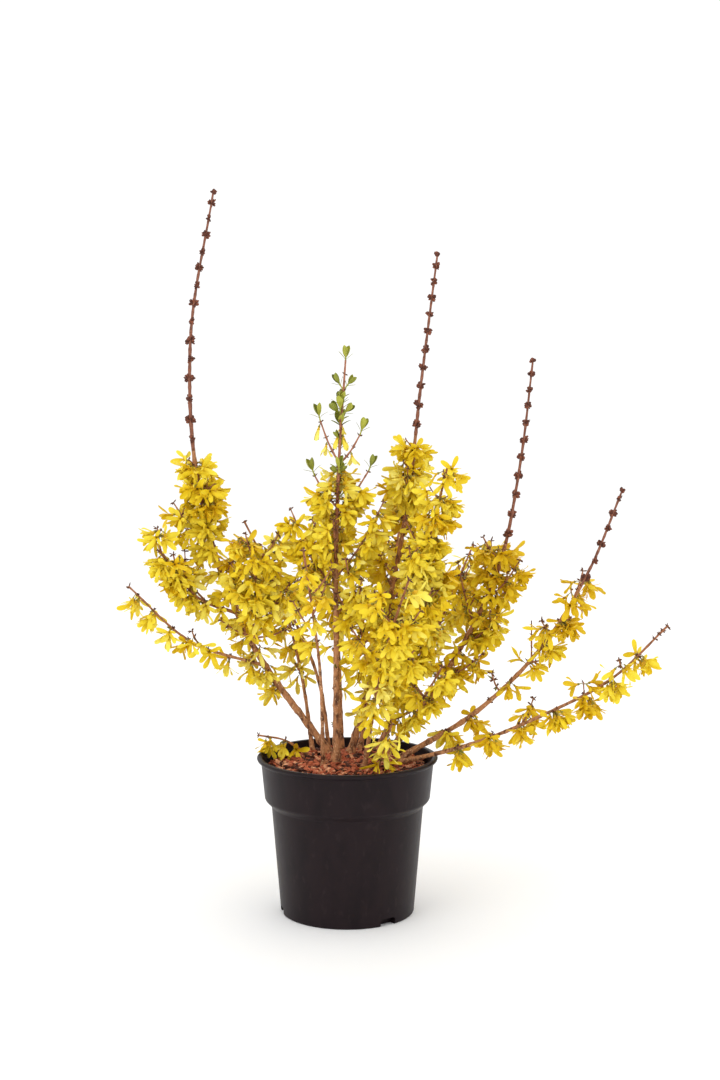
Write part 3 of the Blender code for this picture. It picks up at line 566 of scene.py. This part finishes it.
def addLimb(pile, route, radius, start, end, rng, sides, relief, below=0.0, firstMark=0.0):
    # rings along the route, their radius swollen at the joints and ridged by waves that run along the bark
    count = max(4, int((end - start) * route.length / wood["ringGap"]))
    share = np.linspace(start, end, count)
    centres, axes = route.at(share), route.along(share)
    radii = radiusAt(radius, share, route.length)
    if below:
        centres, axes = np.vstack([centres[:1] - (0, 0, below), centres]), np.vstack([axes[:1], axes])
        radii, share = np.append(radii[:1] * 1.1, radii), np.append(start, share)
    way = share * route.length
    off = np.abs((way / wood["jointGap"] + 0.5) % 1 - 0.5) * wood["jointGap"]
    radii = radii * (1 + wood["jointSwell"] * np.exp(-((off / wood["jointLength"]) ** 2))
                     + 0.05 * np.sin(way * 190 + rng.uniform(0, 6)))
    ridges = np.zeros((len(share), sides))
    for wave in range(6):
        ridges += np.sin((wave + 1) * turns(sides) + way[:, None] * rng.uniform(40, 420)
                         * rng.choice((-1, 1)) + rng.uniform(0, 6)) / (wave + 1.5)
    radii = radii[:, None] * (1 + relief * ridges)
    grid = centres[:, None] + ringOf(axes, carriedSides(axes), sides) * radii[..., None]
    mark = (firstMark + (1.0 - firstMark) * share)[None, :, None]
    pile.addGrids(grid[None], closed=True, caps=True, mark=mark)


def addTwig(pile, route, radius, rng):  # a thin limb with small swellings
    share = np.linspace(0, 1, max(4, int(route.length / 0.006)))
    axes = route.along(share)
    radii = radius[0] + (radius[1] - radius[0]) * share
    radii = radii * (1 + 0.18 * np.sin(share * route.length * 330 + rng.uniform(0, 6)))
    ring = ringOf(axes, carriedSides(axes), wood["twigSides"])
    grid = route.at(share)[:, None] + ring * radii[:, None, None]
    pile.addGrids(grid[None], closed=True, caps=True, mark=0.8)


# Flowers: where each one hangs, and its parts

flowerRule = dict(droop=0.15, droopMore=0.9, upright=0.75, forward=(-0.20, 0.50), turnedDown=0.88,
                  sizes=(0.88, 1.10), reach=0.014, sameTint=0.7, twigGap=0.0200,
                  spurLength=(0.009, 0.018), spurRadius=(0.0010, 0.0008), spurFlowers=(2, 5), twigSpurs=0.6,
                  scaleSize=0.0052, greenBuds=0.22, greenBudLength=(0.005, 0.010))
petalTints = dict(petalsDeep=(232, 197, 26), petalsGold=(240, 212, 38), petalsBright=(245, 223, 60),
                  petalsLemon=(247, 230, 92), petalsPale=(250, 236, 120))
# how many of a limb's flowers have each of the petalTints, in their order. The right-hand limbs take the
# deeper mix: painted shade for the side turned away from the key lamp
usualTints, shadedSideTints = (0.12, 0.30, 0.36, 0.18, 0.04), (0.46, 0.38, 0.14, 0.02, 0.0)
shadedSideLimbs, bareTips = ("tall_right", "low_right", "lowest_right"), dict(lowest_right=0.08)
# how each limb flowers: the gap between its joints, the flowers of a joint on the limb and on its twigs, the
# chance of a short spur on each side of a joint, and by what its flowers are thinned at shares of its length
habits = dict(
    usual=(0.028, (4, 7), (3, 4), 0.20),
    left=(0.027, (9, 12), (5, 7), 0.50, (0.30, 0.3), (0.37, 0.5), (0.43, 1.0), (0.57, 1.0)),
    left_outer=(0.026, (7, 10), (5, 7), 0.35, (0.0, 0.1), (0.3, 0.5), (0.6, 1.1), (1.0, 1.2)),
    left_inner=(0.027, (6, 8), (4, 6), 0.30, (0.0, 0.0), (0.15, 0.0), (0.4, 0.9), (0.7, 1.2), (1.0, 1.0)),
    left_low=(0.028, (4, 6), (3, 4), 0.0, (0.0, 0.7), (0.2, 0.5), (0.4, 0.4), (0.55, 1.0), (1.0, 1.1)),
    back_left=(0.038, (2, 3), (1, 3), 0.0, (0.36, 0.4), (0.7, 0.9), (1.0, 1.0)),
    centre=(0.030, (4, 6), (7, 9), 0.2),
    mid=(0.027, (10, 13), (6, 8), 0.60, (0.24, 0.8), (0.36, 0.6), (0.46, 0.8), (0.52, 1.1), (0.645, 1.3)),
    mid_inner=(0.030, (3, 5), (3, 5), 0.1),
    second=(0.0265, (11, 14), (6, 8), 1.0, (0.17, 0.8), (0.45, 1.0), (0.88, 1.0), (0.94, 0.3), (1.0, 0.2)),
    front_left=(0.040, (2, 3), (1, 2), 0.0),
    tall_right=(0.027, (6, 9), (4, 6), 0.30),
    low_right=(0.034, (8, 10), (3, 4), 0.15, (0.11, 0.9), (0.23, 0.9), (0.28, 0.0), (0.44, 0.2), (0.50, 1.1),
        (0.59, 1.4), (0.64, 0.9), (0.68, 0.2), (0.71, 0.0)),
    lowest_right=(0.041, (7, 10), (3, 5), 0.2, (0.12, 0.7), (0.35, 0.5), (0.5, 1.0), (1.0, 1.0)),
    rim_sprig=(0.020, (3, 5), (1, 2), 0.0),
    front_sprig=(0.024, (3, 5), (1, 2), 0.0))
evenly = ((0.0, 1.0), (1.0, 1.0))
# flowers lower down on a bare stem: from one share to another, and how many at a joint
strays = dict(left=(0.13, 0.29, 4, 6), centre=(0.06, 0.36, 2, 4), mid=(0.08, 0.24, 3, 5),
              back_outer_left=(0.30, 0.42, 2, 3))
# where the photograph shows a stem bare between the flowers at its sides: the heights, and the room kept
# clear
bareStems = dict(centre=dict(heights=(0.2, 0.76), room=0.0095), mid=dict(heights=(0.4, 0.505), room=0.012))
bareLines = [(caneRoutes[name].line, stem["heights"], stem["room"]) for name, stem in bareStems.items()]
flowers = []  # root, outward side, direction, size, tint and opening
scales = []  # the dark bud scales at the joints: root, direction, length, width
greenBuds = []  # root, direction, length


def hidesStem(middle):  # whether a flower lies before a bare stem, nearer to it sideways than the room
    for line, heights, room in bareLines:
        if heights[0] < middle[2] < heights[1]:
            x, y = (np.interp(middle[2], line[:, 2], line[:, k]) for k in (0, 1))
            if middle[1] < y + 0.012 and abs(middle[0] - x) < room:
                return True
    return False


def hang(rng, place, axis, angle, radius, shade):
    # a flower leaves the wood sideways and a little forward, then droops, more so where its side looks up.
    # One that would stand on top of a leaning limb mostly goes to the other side
    outward = across(axis, angle)
    if outward[2] > 0.25 and rng.uniform() < flowerRule["turnedDown"]:
        outward = -outward
    droop = -flowerRule["droop"] - rng.uniform(0, flowerRule["droopMore"])
    down = droop - max(0.0, outward[2]) * flowerRule["upright"]
    direction = unit(outward + rng.uniform(*flowerRule["forward"]) * axis + (0, 0, down)
                     + rng.normal(0, 0.16, 3))
    if not hidesStem(place + direction * flowerRule["reach"]):
        root, size = place + outward * radius * 0.6, rng.uniform(*flowerRule["sizes"])
        flowers.append((*root, *outward, *direction, size, shade, 1.0))


def addScales(rng, place, axis, angle, radius, count, size):  # scales out of the wood's side, all ways
    outward = across(axis, angle)
    for k in range(count):
        direction = unit(outward + 0.3 * axis + rng.normal(0, 0.42, 3))
        scales.append((*(place + outward * radius * 0.5), *direction, size * rng.uniform(0.6, 1.2),
                       size * rng.uniform(0.30, 0.5)))


def addSpur(rng, place, axis, outward, shade):  # a short twig with a few flowers below its tip
    first = unit(outward + 0.45 * axis + (0, 0, 0.25))
    length = rng.uniform(*flowerRule["spurLength"])
    if hidesStem(place + first * length):
        return
    thin = flowerRule["spurRadius"][1]
    spur = Route([place, place + first * length * 0.5, place + first * length + (0, 0, length * 0.12)])
    addTwig(bloomWood, spur, flowerRule["spurRadius"], rng)
    for k in range(rng.integers(*flowerRule["spurFlowers"])):
        hang(rng, spur.at(0.85), spur.along(0.85), rng.uniform(0, 6.28), thin, shade)
    addScales(rng, spur.at(1.0), spur.along(1.0), rng.uniform(0, 6), thin, 3, 0.0042)


def bloomAlong(rng, route, start, end, radius, gap, perJoint, spurs=0.0, dense=evenly, tints=usualTints):
    # the joint's flowers stand round it in a whorl, which starts a quarter turn on from that of the last
    # joint. Their number is drawn from perJoint and scaled by dense, read at the joint's share
    joints = max(1, round((end - start) * route.length / gap))
    turn = rng.uniform(0, math.pi)
    for joint in range(joints):
        share = start + (end - start) * (joint + rng.uniform(0.40, 0.60)) / joints
        place, axis = route.at(share), route.along(share)
        shade = rng.choice(len(tints), p=tints)
        number = round(rng.uniform(*perJoint) * np.interp(share, *zip(*dense)))
        for k in range(number):
            angle = turn + 2 * math.pi * (k + rng.uniform(-0.35, 0.35)) / number
            own = shade if rng.uniform() < flowerRule["sameTint"] else rng.choice(len(tints), p=tints)
            hang(rng, place + axis * rng.uniform(-0.005, 0.005), axis, angle, radius, own)
        for side in (turn, turn + math.pi):
            addScales(rng, place, axis, side, radius, 4, flowerRule["scaleSize"])
            if rng.uniform() < flowerRule["greenBuds"]:
                outward = across(axis, side + rng.uniform(-0.4, 0.4))
                greenBuds.append((*(place + outward * radius * 0.5), *unit(outward + axis * 0.8),
                                  rng.uniform(*flowerRule["greenBudLength"])))
            if number and rng.uniform() < spurs:
                addSpur(rng, place, axis, across(axis, side + rng.uniform(-0.7, 0.7)), shade)
        turn += math.pi / 2


def budRow(rng, route, places, angles, radius, count, size):  # small dark buds at places along a twig
    for place in places:
        for angle in angles:
            addScales(rng, route.at(place), route.along(place), angle, radius, count, size)


def budTip(rng, route, radius, size):  # the small dark buds that end a twig
    for angle in (0.0, 2.1, 4.2):
        addScales(rng, route.at(0.995), route.along(1.0), angle, radius, 2, size)


def growBlossom(seed, name, route, radius, start, end, below=0.0):
    # the stem inside the mass with its flowers, then its side twigs with theirs
    rng = np.random.default_rng(seed)
    gap, perJoint, perTwigJoint, spurs, *dense = habits.get(name, habits["usual"])
    dense, bareTip = dense or evenly, bareTips.get(name, 0.0)
    # the deeper tints on the right-hand limbs are painted shade
    tints = shadedSideTints if name in shadedSideLimbs else usualTints
    addLimb(bloomWood, route, radius, start, end, rng, wood["thinSides"], wood["relief"] * 0.7, below, 0.2)
    middle = float(radiusAt(radius, (start + end) / 2, route.length))
    last = end - max(bareTip, 0.004 / route.length)
    bloomAlong(rng, route, start + 0.006 / route.length, last, middle, gap, perJoint, spurs, dense, tints)
    if name in strays:
        low, high, least, most = strays[name]
        bloomAlong(rng, route, low, high, middle, 0.026, (least, most), 0.15)
    for share, bearing, rise, length in twigs.get(name, []):
        twig = twigRoute(route.at(share), bearing, rise, length, wood["twigGrowth"])
        addTwig(bloomWood, twig, wood["twigRadius"], rng)
        part = np.interp(share, *zip(*dense))
        bloomAlong(rng, twig, 0.010 / twig.length, 0.92, wood["twigRadius"][1], flowerRule["twigGap"],
                   perTwigJoint, spurs * flowerRule["twigSpurs"], ((0.0, part), (1.0, part)), tints)
        budTip(rng, twig, 0.0009, 0.0056)
    for share, bearing, rise, length in bareTwigs.get(name, []):
        twig = twigRoute(route.at(share), bearing, rise, length)
        addTwig(bloomWood, twig, (0.0013, 0.0009), rng)
        budRow(rng, twig, (0.35, 0.65, 0.99), (0.0, math.pi), 0.0008, 2, 0.0040)
    if bareTip:
        budRow(rng, route, np.linspace(last + 0.02, 0.995, 4), (0.4, 0.4 + math.pi), 0.0012, 3, 0.0050)
    elif end == 1.0:
        budTip(rng, route, 0.0008, 0.0055)


shoot = dict(jointGap=0.0270, clusterReach=0.0082, buds=14, tipSize=0.7, seed=31)
shootJoints = []  # place, outward side, direction of the shoot, size of the cluster


def growShoot(name, route, radius, start):
    # a bare shoot with opposite clusters of shrivelled buds, closer together and smaller towards the tip
    rng = np.random.default_rng(shoot["seed"] + len(name))
    addLimb(shootWood, route, radius, start, 1.0, rng, wood["thinSides"], wood["thinRelief"], firstMark=0.6)
    share = start + 0.5 * shoot["jointGap"] / route.length
    turn = rng.uniform(0, 0.6)
    while share < 0.99:
        place, axis = route.at(share), route.along(share)
        for angle in (turn, turn + math.pi):
            shootJoints.append((*place, *across(axis, angle), *axis, 1.22 - 0.62 * share))
        share += shoot["jointGap"] * (1.4 - 0.7 * share) / route.length
        turn += math.pi / 2
    tip = route.along(1.0)
    shootJoints.append((*route.at(0.995), *tip, *across(tip, 0.0), shoot["tipSize"]))


masses = []
for name, (radius, (start, end), *points) in canes.items():
    route, rng = caneRoutes[name], np.random.default_rng(100 + len(masses))
    addLimb(caneWood, route, radius, 0.0, start, rng, wood["sides"], wood["relief"], wood["sunk"])
    masses.append((name, route, radius, start, end))
    if name != "centre" and end < 1.0:
        growShoot(name, route, radius, end)
for name, (radius, cane, share, *points) in branches.items():
    masses.append((name, Route([caneRoutes[cane].at(share), *(np.array(points) / 1000)]), radius, 0.0, 1.0))
for name, (radius, *points) in sprigs.items():
    masses.append((name, standing(*points), radius, 0.0, 1.0, wood["sunk"]))
for seed, mass in enumerate(masses):
    growBlossom(seed, *mass)

# foot deepens each petal's colour at its root and fades out by footEnd: partly the flower's own throat colour,
# partly painted shade
petal = dict(
    length=0.0188, width=0.0065, columns=4,
    outline=[(0.0, 0.46), (0.14, 0.62), (0.34, 0.86), (0.55, 1.0), (0.74, 0.98), (0.88, 0.80), (0.96, 0.50),
             (1.0, 0.18)],
    opening=(24.0, 62.0), curl=(-16.0, 40.0), cup=0.38, ripple=0.16, twist=0.55,
    pedicel=0.0038, neck=0.0015, calyx=0.0026, throat=0.0040, foot=(0.90, 0.84, 0.45), footEnd=0.55)


def sheetGrids(root, direction, spoke, length, width, outline, angles, cup, twist, ripple, phase, columns):
    # a strap that leaves root at an angle from its direction, angles giving it row by row in radians.
    # Across, it is hollowed by cup times the square of the way from its middle, rippled at its edges and
    # twisted towards its tip
    share, breadth = np.array(outline).T
    half = width[:, None] * breadth / 2
    normalWay = np.cos(angles)[..., None] * direction[:, None] + np.sin(angles)[..., None] * spoke[:, None]
    steps = np.diff(share, prepend=0.0)[None, :, None] * length[:, None, None] * normalWay
    centre = root[:, None] + np.cumsum(steps, axis=1)
    side = np.cross(direction, spoke)[:, None] * np.ones_like(centre)
    normal = np.cross(normalWay, side)
    turn = (twist[:, None] * share**1.5)[..., None]
    side, normal = side * np.cos(turn) + normal * np.sin(turn), normal * np.cos(turn) - side * np.sin(turn)
    u = np.linspace(-1, 1, columns)
    wave = np.sin(7.0 * share[:, None] + phase[:, None, None])
    lift = cup[:, None, None] * (u**2 - 0.3) + ripple * u * wave
    return (centre[:, :, None] + side[:, :, None] * (half[:, :, None] * u)[..., None]
            + normal[:, :, None] * (half[:, :, None] * lift)[..., None])


def petalMaterial(name, colour, specular=0.25, veins=700.0, bump=0.10, foot=petal["foot"]):
    # the plain colour with fine veins in the surface, times foot where the petal's mark is 0: a deeper orange
    # at the petal's root, partly the flower's own throat colour and partly painted shade in the flower's
    # hollow
    material, finish, shader = newMaterial(name, 0.55, specular)
    if foot:
        deep = tuple(np.multiply(colour, (*foot, 1.0)).tolist())
        colour = finish.mix(finish.sharpen(finish.mark(), 0.0, petal["footEnd"]), deep, colour)
    relief = finish.bump(finish.noise(finish.place(), veins), bump, 0.0004)
    finish.fill(shader, {"Base Color": colour, "Normal": relief})
    return material


def makeFlowers():
    # every flower: a curved stalk that swells into a calyx, a short throat and four petals
    rng, n = np.random.default_rng(77), len(flowers)
    root, outward, direction, size, shade, opening = columns(flowers, 3, 3, 3, 1, 1, 1)
    bend = root + outward * petal["pedicel"] * size[:, None]
    neck = bend + direction * petal["neck"]
    cup = neck + direction * petal["calyx"] * size[:, None]
    mouth = cup + direction * petal["throat"] * size[:, None]
    side = across(direction, 0.0)

    stalks = Pile()
    centres = np.stack([root, bend, neck, neck * 0.5 + cup * 0.5, cup, cup + direction * 0.0004], 1)
    radii = np.array((0.00055, 0.00055, 0.0008, 0.0016, 0.0017, 0.0009))
    stalks.addTubes(centres, radii, direction, side, 4)
    olive = mottledMaterial("calyx", ((158, 146, 48), (122, 96, 40), (184, 172, 66)), 300, 0.6, 0.2)
    makePiece("calyxes", stalks, olive, blossomNodes)

    throats = Pile()
    centres = np.stack([cup - direction * 0.0006, cup * 0.45 + mouth * 0.55, mouth], 1)
    radii = np.array((0.0012, 0.0018, 0.0027)) * size[:, None]
    throats.addTubes(centres, radii, direction, side, 8, caps=False)
    # the throat's deeper gold is partly the flower's own colour and partly painted shade inside the flower
    gold = petalMaterial("petal throat", tint(220, 176, 18), 0.35, 900.0, 0.12, None)
    makePiece("throats", throats, gold, blossomNodes)

    spin = rng.uniform(0, math.pi / 2, n)
    share = np.array(petal["outline"])[:, 0]
    piles = {name: Pile() for name in petalTints}
    for k in range(4):
        spoke = across(direction, spin + k * math.pi / 2 + rng.normal(0, 0.12, n))
        wide = np.radians(rng.uniform(*petal["opening"], n)) * opening
        curl = np.radians(rng.uniform(*petal["curl"], n)) * opening
        angles = wide[:, None] * (0.35 + 0.65 * smoothStep(share / 0.35)) + curl[:, None] * share**2
        start = cup + (mouth - cup) * 0.75 + spoke * 0.0014 * size[:, None]
        length = petal["length"] * size * rng.uniform(0.86, 1.08, n)
        width = petal["width"] * size * rng.uniform(0.85, 1.12, n)
        hollow = rng.uniform(0.1, 1.0, n) * petal["cup"] * rng.choice((-1, 1), n, p=(0.75, 0.25))
        twist, phase = rng.normal(0, petal["twist"], n), rng.uniform(0, 6, n)
        grids = sheetGrids(start, direction, spoke, length, width, petal["outline"], angles, hollow, twist,
                           petal["ripple"], phase, petal["columns"])
        for number, pile in enumerate(piles.values()):
            pile.addGrids(grids[shade == number], mark=share[None, :, None])
    for name, pile in piles.items():
        makePiece(name, pile, petalMaterial(name, tint(*petalTints[name])), blossomNodes)


# Young leaves on the middle stem's tip

leaf = dict(
    length=0.0165, width=0.0100,
    outline=[(0.0, 0.26), (0.15, 0.52), (0.35, 0.82), (0.58, 1.0), (0.76, 0.94), (0.90, 0.62), (1.0, 0.10)],
    leafletLength=0.0140, leafletWidth=0.0036,
    leafletOutline=[(0.0, 0.6), (0.3, 1.0), (0.6, 0.9), (0.85, 0.6), (1.0, 0.1)])
leafTints = dict(leavesFresh=((172, 174, 60), (144, 146, 44), (198, 196, 94)),
                 leavesDark=((138, 144, 46), (112, 116, 36), (164, 166, 68)))


def growLeafyTip():
    # a stem with opposite twigs, each ending in a pair of leaves closed like a tulip between two thin
    # leaflets
    rng = np.random.default_rng(9)
    route, radius, start = caneRoutes["centre"], canes["centre"][0], canes["centre"][1][1]
    addLimb(leafyWood, route, radius, start, 1.0, rng, wood["thinSides"], wood["thinRelief"], firstMark=0.6)
    sets, limbs = [(*route.at(1.0), *route.along(1.0), 0.004, 1.0)], []
    for number, (share, bearing, rise, length) in enumerate(leafyTwigs):
        twig = twigRoute(route.at(share), bearing, rise, length)
        addTwig(leafyWood, twig, (0.0014, 0.0010), rng)
        limbs.append(twig)
        sets.append((*twig.at(1.0), *unit(twig.along(1.0) + (0, 0, 0.6)), 0.0075, rng.uniform(0.95, 1.08)))
        for place in (0.30, 0.62, 0.97):
            budRow(rng, twig, (place,), (0.8 + place * 9, 0.8 + math.pi + place * 9), 0.0010, 2, 0.0042)
        if number in (2, 3, 6, 7):
            bloomAlong(rng, twig, 0.05, 0.70, 0.0010, 0.015, (5, 7))
    bloomAlong(rng, route, 0.60, 0.67, 0.0020, 0.020, (3, 4), 0.3)
    for share, bearing, lean, stalk, size in leafSets:
        way = unit(route.along(share) + math.tan(math.radians(lean)) * bearingVector(bearing, 0))
        sets.append((*route.at(share), *way, stalk, size))
    budRow(rng, route, (0.655, 0.70, 0.745, 0.815, 0.862, 0.925, 0.965),
           (0.3, 0.3 + math.pi, 1.9, 1.9 + math.pi), 0.0014, 1, 0.0046)
    for number, share, bearing, shade, opening in hangers:
        limb = limbs[number] if number >= 0 else route
        outward = unit(bearingVector(bearing, 0) + (0, 0, 0.35))
        direction = unit(outward * 0.25 + (0, 0, -1.0))
        flowers.append((*limb.at(share), *outward, *direction, 0.80, shade, opening))
    return sets


def makeLeaves(sets):
    # the leaf's blade bends outwards from its stalk and back again, so that a pair closes round its bud
    rng = np.random.default_rng(21)
    place, axis, stalk, size = columns(sets, 3, 3, 1, 1)
    n, top = len(place), place + axis * stalk[:, None]
    piles = dict(leavesFresh=Pile(), leavesDark=Pile())
    centres = np.stack([place - axis * 0.001, place * 0.5 + top * 0.5, top, top + axis * 0.0020], 1)
    radii = np.array((0.0011, 0.0009, 0.0011, 0.0006))
    piles["leavesFresh"].addTubes(centres, radii, axis, across(axis, 0.3), 5)
    share, leafletShare = (np.array(leaf[key])[:, 0] for key in ("outline", "leafletOutline"))
    # most pairs turn a slanting side to the front
    front = unit(np.cross(np.cross(axis, (0.0, -1.0, 0.0)), axis))
    angle = (rng.choice((-1, 1), n) * rng.uniform(0.55, 1.15, n))[:, None]
    beside = np.cross(axis, front)
    front = front * np.cos(angle) + beside * np.sin(angle)
    for way in (1, -1):
        wide = rng.uniform(0.62, 0.85, n)
        angles = wide[:, None] * (1 - 1.12 * share[None]) + rng.uniform(-0.05, 0.15, n)[:, None] * share
        grids = sheetGrids(top - axis * 0.001, axis, front * way, leaf["length"] * size,
                           leaf["width"] * size, leaf["outline"], angles, np.full(n, 0.75),
                           rng.normal(0, 0.12, n), 0.04, rng.uniform(0, 6, n), 5)
        fresh = rng.uniform(0, 1, n) < 0.6
        piles["leavesFresh"].addGrids(grids[fresh])
        piles["leavesDark"].addGrids(grids[~fresh])
        angles = rng.uniform(0.60, 0.85, n)[:, None] + rng.uniform(0.1, 0.7, n)[:, None] * leafletShare
        grids = sheetGrids(top - axis * 0.004, axis, beside * way, leaf["leafletLength"] * size,
                           leaf["leafletWidth"] * size, leaf["leafletOutline"], angles, np.full(n, 0.3),
                           rng.normal(0, 0.2, n), 0.0, np.zeros(n), 3)
        piles["leavesDark"].addGrids(grids)
    for name, pile in piles.items():
        makePiece(name, pile, mottledMaterial(name, leafTints[name], 240, 0.55, 0.25),
                  ["centre_leafy_tip"])


makeLeaves(growLeafyTip())
print("grown:", len(flowers), "flowers,", len(scales), "bud scales")
makeFlowers()


# Bud scales, green buds and the shrivelled clusters on the shoots

def makeBuds():  # all are spindles, turned about their own axis by a draw
    rng = np.random.default_rng(14)

    def addBuds(pile, root, direction, length, width, thick, profile, sides):
        side = across(direction, rng.uniform(0, 6, len(root)))
        pile.addSpindles(root, direction, side, length, width, thick, profile, sides)

    pile = Pile()
    root, direction, length, width = columns(scales, 3, 3, 1, 1)
    addBuds(pile, root, direction, length, width, width * 0.7, [(0.15, 0.7), (0.45, 1.0), (0.8, 0.55)], 5)
    brown = mottledMaterial("bud scales", ((106, 66, 42), (72, 44, 32), (146, 100, 62)), 420, 0.75, 0.4)
    makePiece("budScales", pile, brown)

    pile = Pile()
    root, direction, length = columns(greenBuds, 3, 3, 1)
    addBuds(pile, root, direction, length, length * 0.34, length * 0.22,
            [(0.12, 0.6), (0.4, 1.0), (0.75, 0.7)], 6)
    olive = mottledMaterial("green buds", ((120, 122, 40), (84, 80, 32), (156, 160, 66)), 320, 0.6, 0.25)
    makePiece("greenBuds", pile, olive)

    darkPile, redPile = Pile(), Pile()
    place, outward, axis, size = columns(shootJoints, 3, 3, 3, 1)
    n = len(place)
    for k in range(shoot["buds"]):  # each bud of a cluster thrown a little out of the cluster's side
        throw = rng.normal(0, 0.50, place.shape)
        direction = unit(outward * (1.0 if k else 1.6) + axis * rng.uniform(-0.2, 0.5, n)[:, None] + throw)
        length = size * shoot["clusterReach"] * rng.uniform(0.60, 1.12, n)
        width = length * rng.uniform(0.50, 0.80, n)
        pile = darkPile if k % 3 else redPile
        root = place + outward * 0.0005 + axis * rng.uniform(-0.0022, 0.0022, n)[:, None]
        addBuds(pile, root, direction, length, width, width * 0.7,
                [(0.12, 0.5), (0.35, 0.9), (0.6, 1.0), (0.82, 0.75), (0.94, 0.45)], 6)
        pile.points[-1] = pile.points[-1] + rng.normal(0, 0.00028, pile.points[-1].shape)
    dark = mottledMaterial("dried buds", ((104, 58, 44), (64, 38, 30), (142, 88, 62)), 420, 0.8, 0.6)
    red = mottledMaterial("dried red buds", ((140, 78, 54), (92, 52, 38), (172, 110, 78)), 420, 0.8, 0.6)
    makePiece("driedBudsDark", darkPile, dark, shootNodes)
    makePiece("driedBudsRed", redPile, red, shootNodes)


makeBuds()

bark = mottledMaterial("bark", ((184, 128, 86), (88, 52, 34), (238, 198, 150)), 190, 0.82, 1.0,
                       young=((166, 108, 74), (114, 70, 46), (204, 150, 108)))
shootBark = mottledMaterial("shoot bark", ((138, 84, 62), (98, 56, 40), (180, 130, 102)), 260, 0.6, 0.4)
leafyBark = mottledMaterial("leafy bark", ((170, 108, 78), (122, 72, 52), (206, 150, 116)), 260, 0.65, 0.4)
makePiece("caneWood", caneWood, bark, stemNodes)
makePiece("bloomWood", bloomWood, bark, blossomNodes)
makePiece("shootWood", shootWood, shootBark, shootNodes)
makePiece("leafyWood", leafyWood, leafyBark, ["centre_leafy_tip"])


# Floor, light and camera

studio = dict(worldLight=1.08, lampAim=(0.03, 0.0, 0.42), cameraPlace=(0.016, -2.19, 0.686),
              cameraPitch=84.5, lens=58.4, floorColour=(0.99, 0.99, 0.99, 1))
lamps = dict(  # place, width and power of each
    key=((-1.7, -2.0, 2.5), 2.2, 16.0), fill=((2.1, -1.9, 1.5), 2.4, 4.0), back=((0.3, 2.2, 2.6), 2.4, 10.0))


def makeStudio():
    bpy.ops.mesh.primitive_plane_add(size=40.0, location=(0, 0, -0.0002))
    floor = bpy.context.object
    floor.name = "floor"
    material, finish, shader = newMaterial("pale floor", 0.9, 0.2)
    finish.fill(shader, {"Base Color": studio["floorColour"]})
    floor.data.materials.append(material)
    world = bpy.data.worlds.new("studio")
    bpy.context.scene.world = world
    world.use_nodes = True
    Finish(world.node_tree).fill(world.node_tree.nodes["Background"],
                                 dict(Color=(1, 1, 1, 1), Strength=studio["worldLight"]))
    for name, (place, size, power) in lamps.items():
        data = bpy.data.lights.new(name, "AREA")
        data.shape, data.size, data.energy = "DISK", size, power
        lamp = bpy.data.objects.new(name, data)
        lamp.location = place
        aim = np.array(studio["lampAim"]) - place
        turn = math.atan2(aim[1], aim[0]) - math.pi / 2
        lamp.rotation_euler = (math.acos(-aim[2] / np.linalg.norm(aim)), 0, turn)
        bpy.context.scene.collection.objects.link(lamp)
    data = bpy.data.cameras.new("camera")
    data.sensor_width, data.lens = 36.0, studio["lens"]
    camera = bpy.data.objects.new("camera", data)
    camera.location = studio["cameraPlace"]
    camera.rotation_euler = (math.radians(studio["cameraPitch"]), 0, 0)
    bpy.context.scene.collection.objects.link(camera)
    bpy.context.scene.camera = camera
    bpy.context.scene.view_settings.view_transform = "Standard"


makeStudio()
